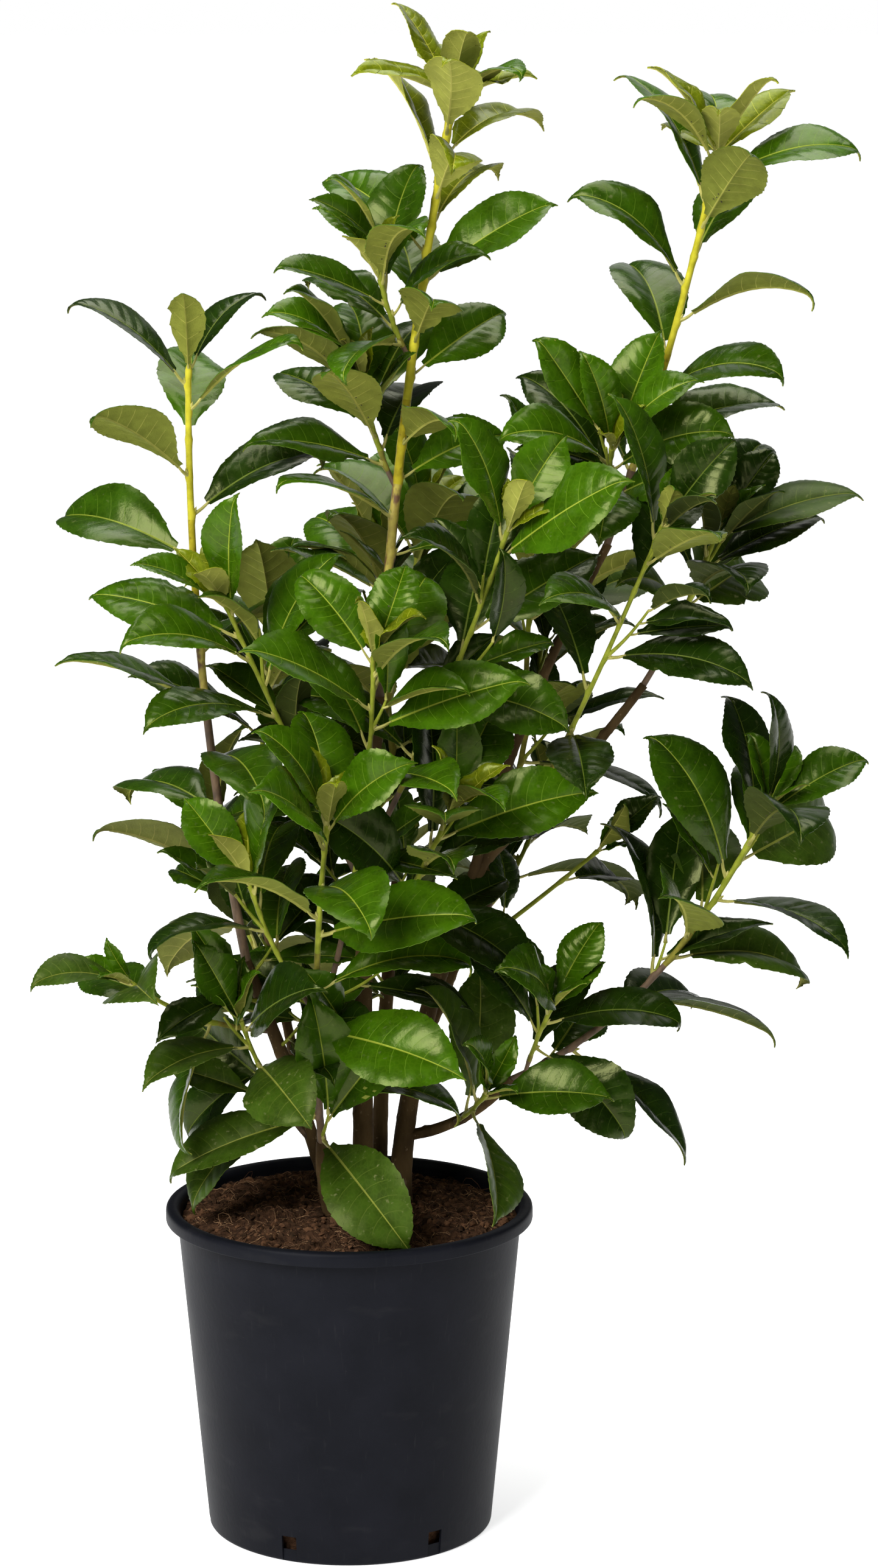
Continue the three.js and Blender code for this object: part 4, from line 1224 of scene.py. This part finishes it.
def add_crumbs():
    """Small clods and chips scattered over the compost."""
    rng = np.random.default_rng(SEEDS.crumbs)
    pile = Pile()
    shares = np.linspace(-1, 1, CRUMBS.rings)
    taper = np.sqrt(np.maximum(CRUMBS.blunt, 1 - shares ** 2))[:, None]
    for _ in range(CRUMBS.count):
        x, y = spot_on_soil(rng, CRUMBS.margin)
        size = rng.uniform(*CRUMBS.size) * rng.uniform(*CRUMBS.smaller)
        heading = unit(rng.normal(0, 1, 3) * CRUMBS.tilt)
        middle = np.array([x, y, soil_height(x, y) + CRUMBS.lift * size])
        radii = size * taper * rng.uniform(*CRUMBS.uneven, (CRUMBS.rings, CRUMBS.sides))
        centres = middle + heading * size * rng.uniform(*CRUMBS.long) * shares[:, None]
        tube(pile, centres, radii, CRUMBS.sides, rng.choice(2))
    paints = [
        paint("crumb_dark", [(0.014, 0.008, 0.004), (0.05, 0.026, 0.014)], scale=300, rough=(0.85, 1),
              Specular_IOR_Level=0.05),
        paint("crumb_red", [(0.05, 0.024, 0.012), (0.13, 0.064, 0.032)], scale=300, rough=(0.8, 0.95),
              Specular_IOR_Level=0.05),
    ]
    pile.build("compost_crumbs", paints)


# The photograph's camera, in metres, with its focal length and half its height in the photograph's pixels
CAMERA = Sizes(place=(0.0692, -3.15, 1.147), pitch=10.15, focal=6922, half_height=1288)
# Soft studio light from the front left over a bright floor, in metres
LAMPS = [
    Sizes(name="key", place=(-1.7, -2.5, 2.7), size=2, power=200),
    Sizes(name="fill", place=(2.2, -2.6, 1.7), size=1.2, power=9),
    Sizes(name="top", place=(0.2, 0.4, 3.2), size=2.2, power=80),
    Sizes(name="back", place=(0.9, 2.9, 2.2), size=2, power=8),
]
AIM = (0.05, 0, 0.6)
FLOOR = Sizes(reach=900, lit=[0.8, 5], glow=[0.7, 1], colours=[(0.84, 0.84, 0.84), (0.88, 0.88, 0.88)])
WORLD = Sizes(heights=(0.01, 0.05), colours=[(1, 1, 1), (0.05, 0.05, 0.05)])


def add_floor():
    """A pale floor that glows more where the lamps don't reach it, so that it is even to the horizon."""
    reach = FLOOR.reach
    mesh = bpy.data.meshes.new("floor")
    corners = [(-reach, -reach, 0), (reach, -reach, 0), (reach, reach, 0), (-reach, reach, 0)]
    mesh.from_pydata(corners, [], [(0, 1, 2, 3)])
    paper = paint("floor_paper", FLOOR.colours, scale=3, rough=(0.8, 0.9), Emission_Color=(1, 1, 1, 1))
    tree = paper.node_tree
    away = tree.nodes.new("ShaderNodeVectorMath")
    away.operation = "LENGTH"
    feed(tree, away, Vector=node(tree, "TexCoord").outputs["Object"])
    glow = node(tree, "MapRange", Value=away.outputs["Value"], From_Min=FLOOR.lit[0], From_Max=FLOOR.lit[1],
                To_Min=FLOOR.glow[0], To_Max=FLOOR.glow[1])
    glow.interpolation_type = "SMOOTHSTEP"
    feed(tree, tree.nodes["Principled BSDF"], Emission_Strength=glow.outputs["Result"])
    mesh.materials.append(paper)
    floor = put("floor", mesh)


def add_lamps():
    for lamp in LAMPS:
        light = bpy.data.lights.new(lamp.name, "AREA")
        light.size = lamp.size
        light.energy = lamp.power
        holder = put(lamp.name, light)
        holder.location = lamp.place
        aim = Vector(AIM) - Vector(lamp.place)
        holder.rotation_euler = aim.to_track_quat("-Z", "Y").to_euler()


def add_world():
    """Surroundings that are white at the horizon and dimmer above."""
    world = bpy.data.worlds.new("studio")
    world.use_nodes = True
    tree = world.node_tree
    parts = node(tree, "SeparateXYZ", Vector=node(tree, "TexCoord").outputs["Generated"])
    feed(tree, tree.nodes["Background"], Color=graded(tree, parts.outputs["Z"], WORLD.heights, WORLD.colours))
    bpy.context.scene.world = world


def add_camera():
    lens = bpy.data.cameras.new("camera")
    lens.sensor_fit = "VERTICAL"
    lens.lens = lens.sensor_height / 2 * CAMERA.focal / CAMERA.half_height
    camera = put("camera", lens)
    camera.location = CAMERA.place
    camera.rotation_euler = (math.radians(90 - CAMERA.pitch), 0, 0)
    bpy.context.scene.camera = camera
    bpy.context.scene.view_settings.view_transform = "Standard"


def add_plant():
    """Bark, twigs, stalks and leaves."""
    paths = grow_paths()
    bark = bark_paint()
    for number, limb in enumerate(LIMBS):
        add_limb(limb, paths[limb.name], SEEDS.bark + number * 10, bark)
    leaves = grow_leaves(paths)
    twigs = Pile()
    for shoot in SHOOTS:
        add_twig(twigs, shoot, paths[shoot.name], [leaf for leaf in leaves if leaf.shoot is shoot])
    small = grow_tip_leaves(paths) + grow_sprigs(leaves, paths, twigs)
    masses = [shoot.name for shoot in SHOOTS if shoot.mass == shoot.name]
    twigs.build("twigs", twig_paints(), masses)
    add_stalks(leaves + small)
    add_glands(leaves)
    add_foliage(leaves + small)


add_pot()
add_compost()
add_fibres()
add_crumbs()
add_plant()
add_floor()
add_lamps()
add_world()
add_camera()
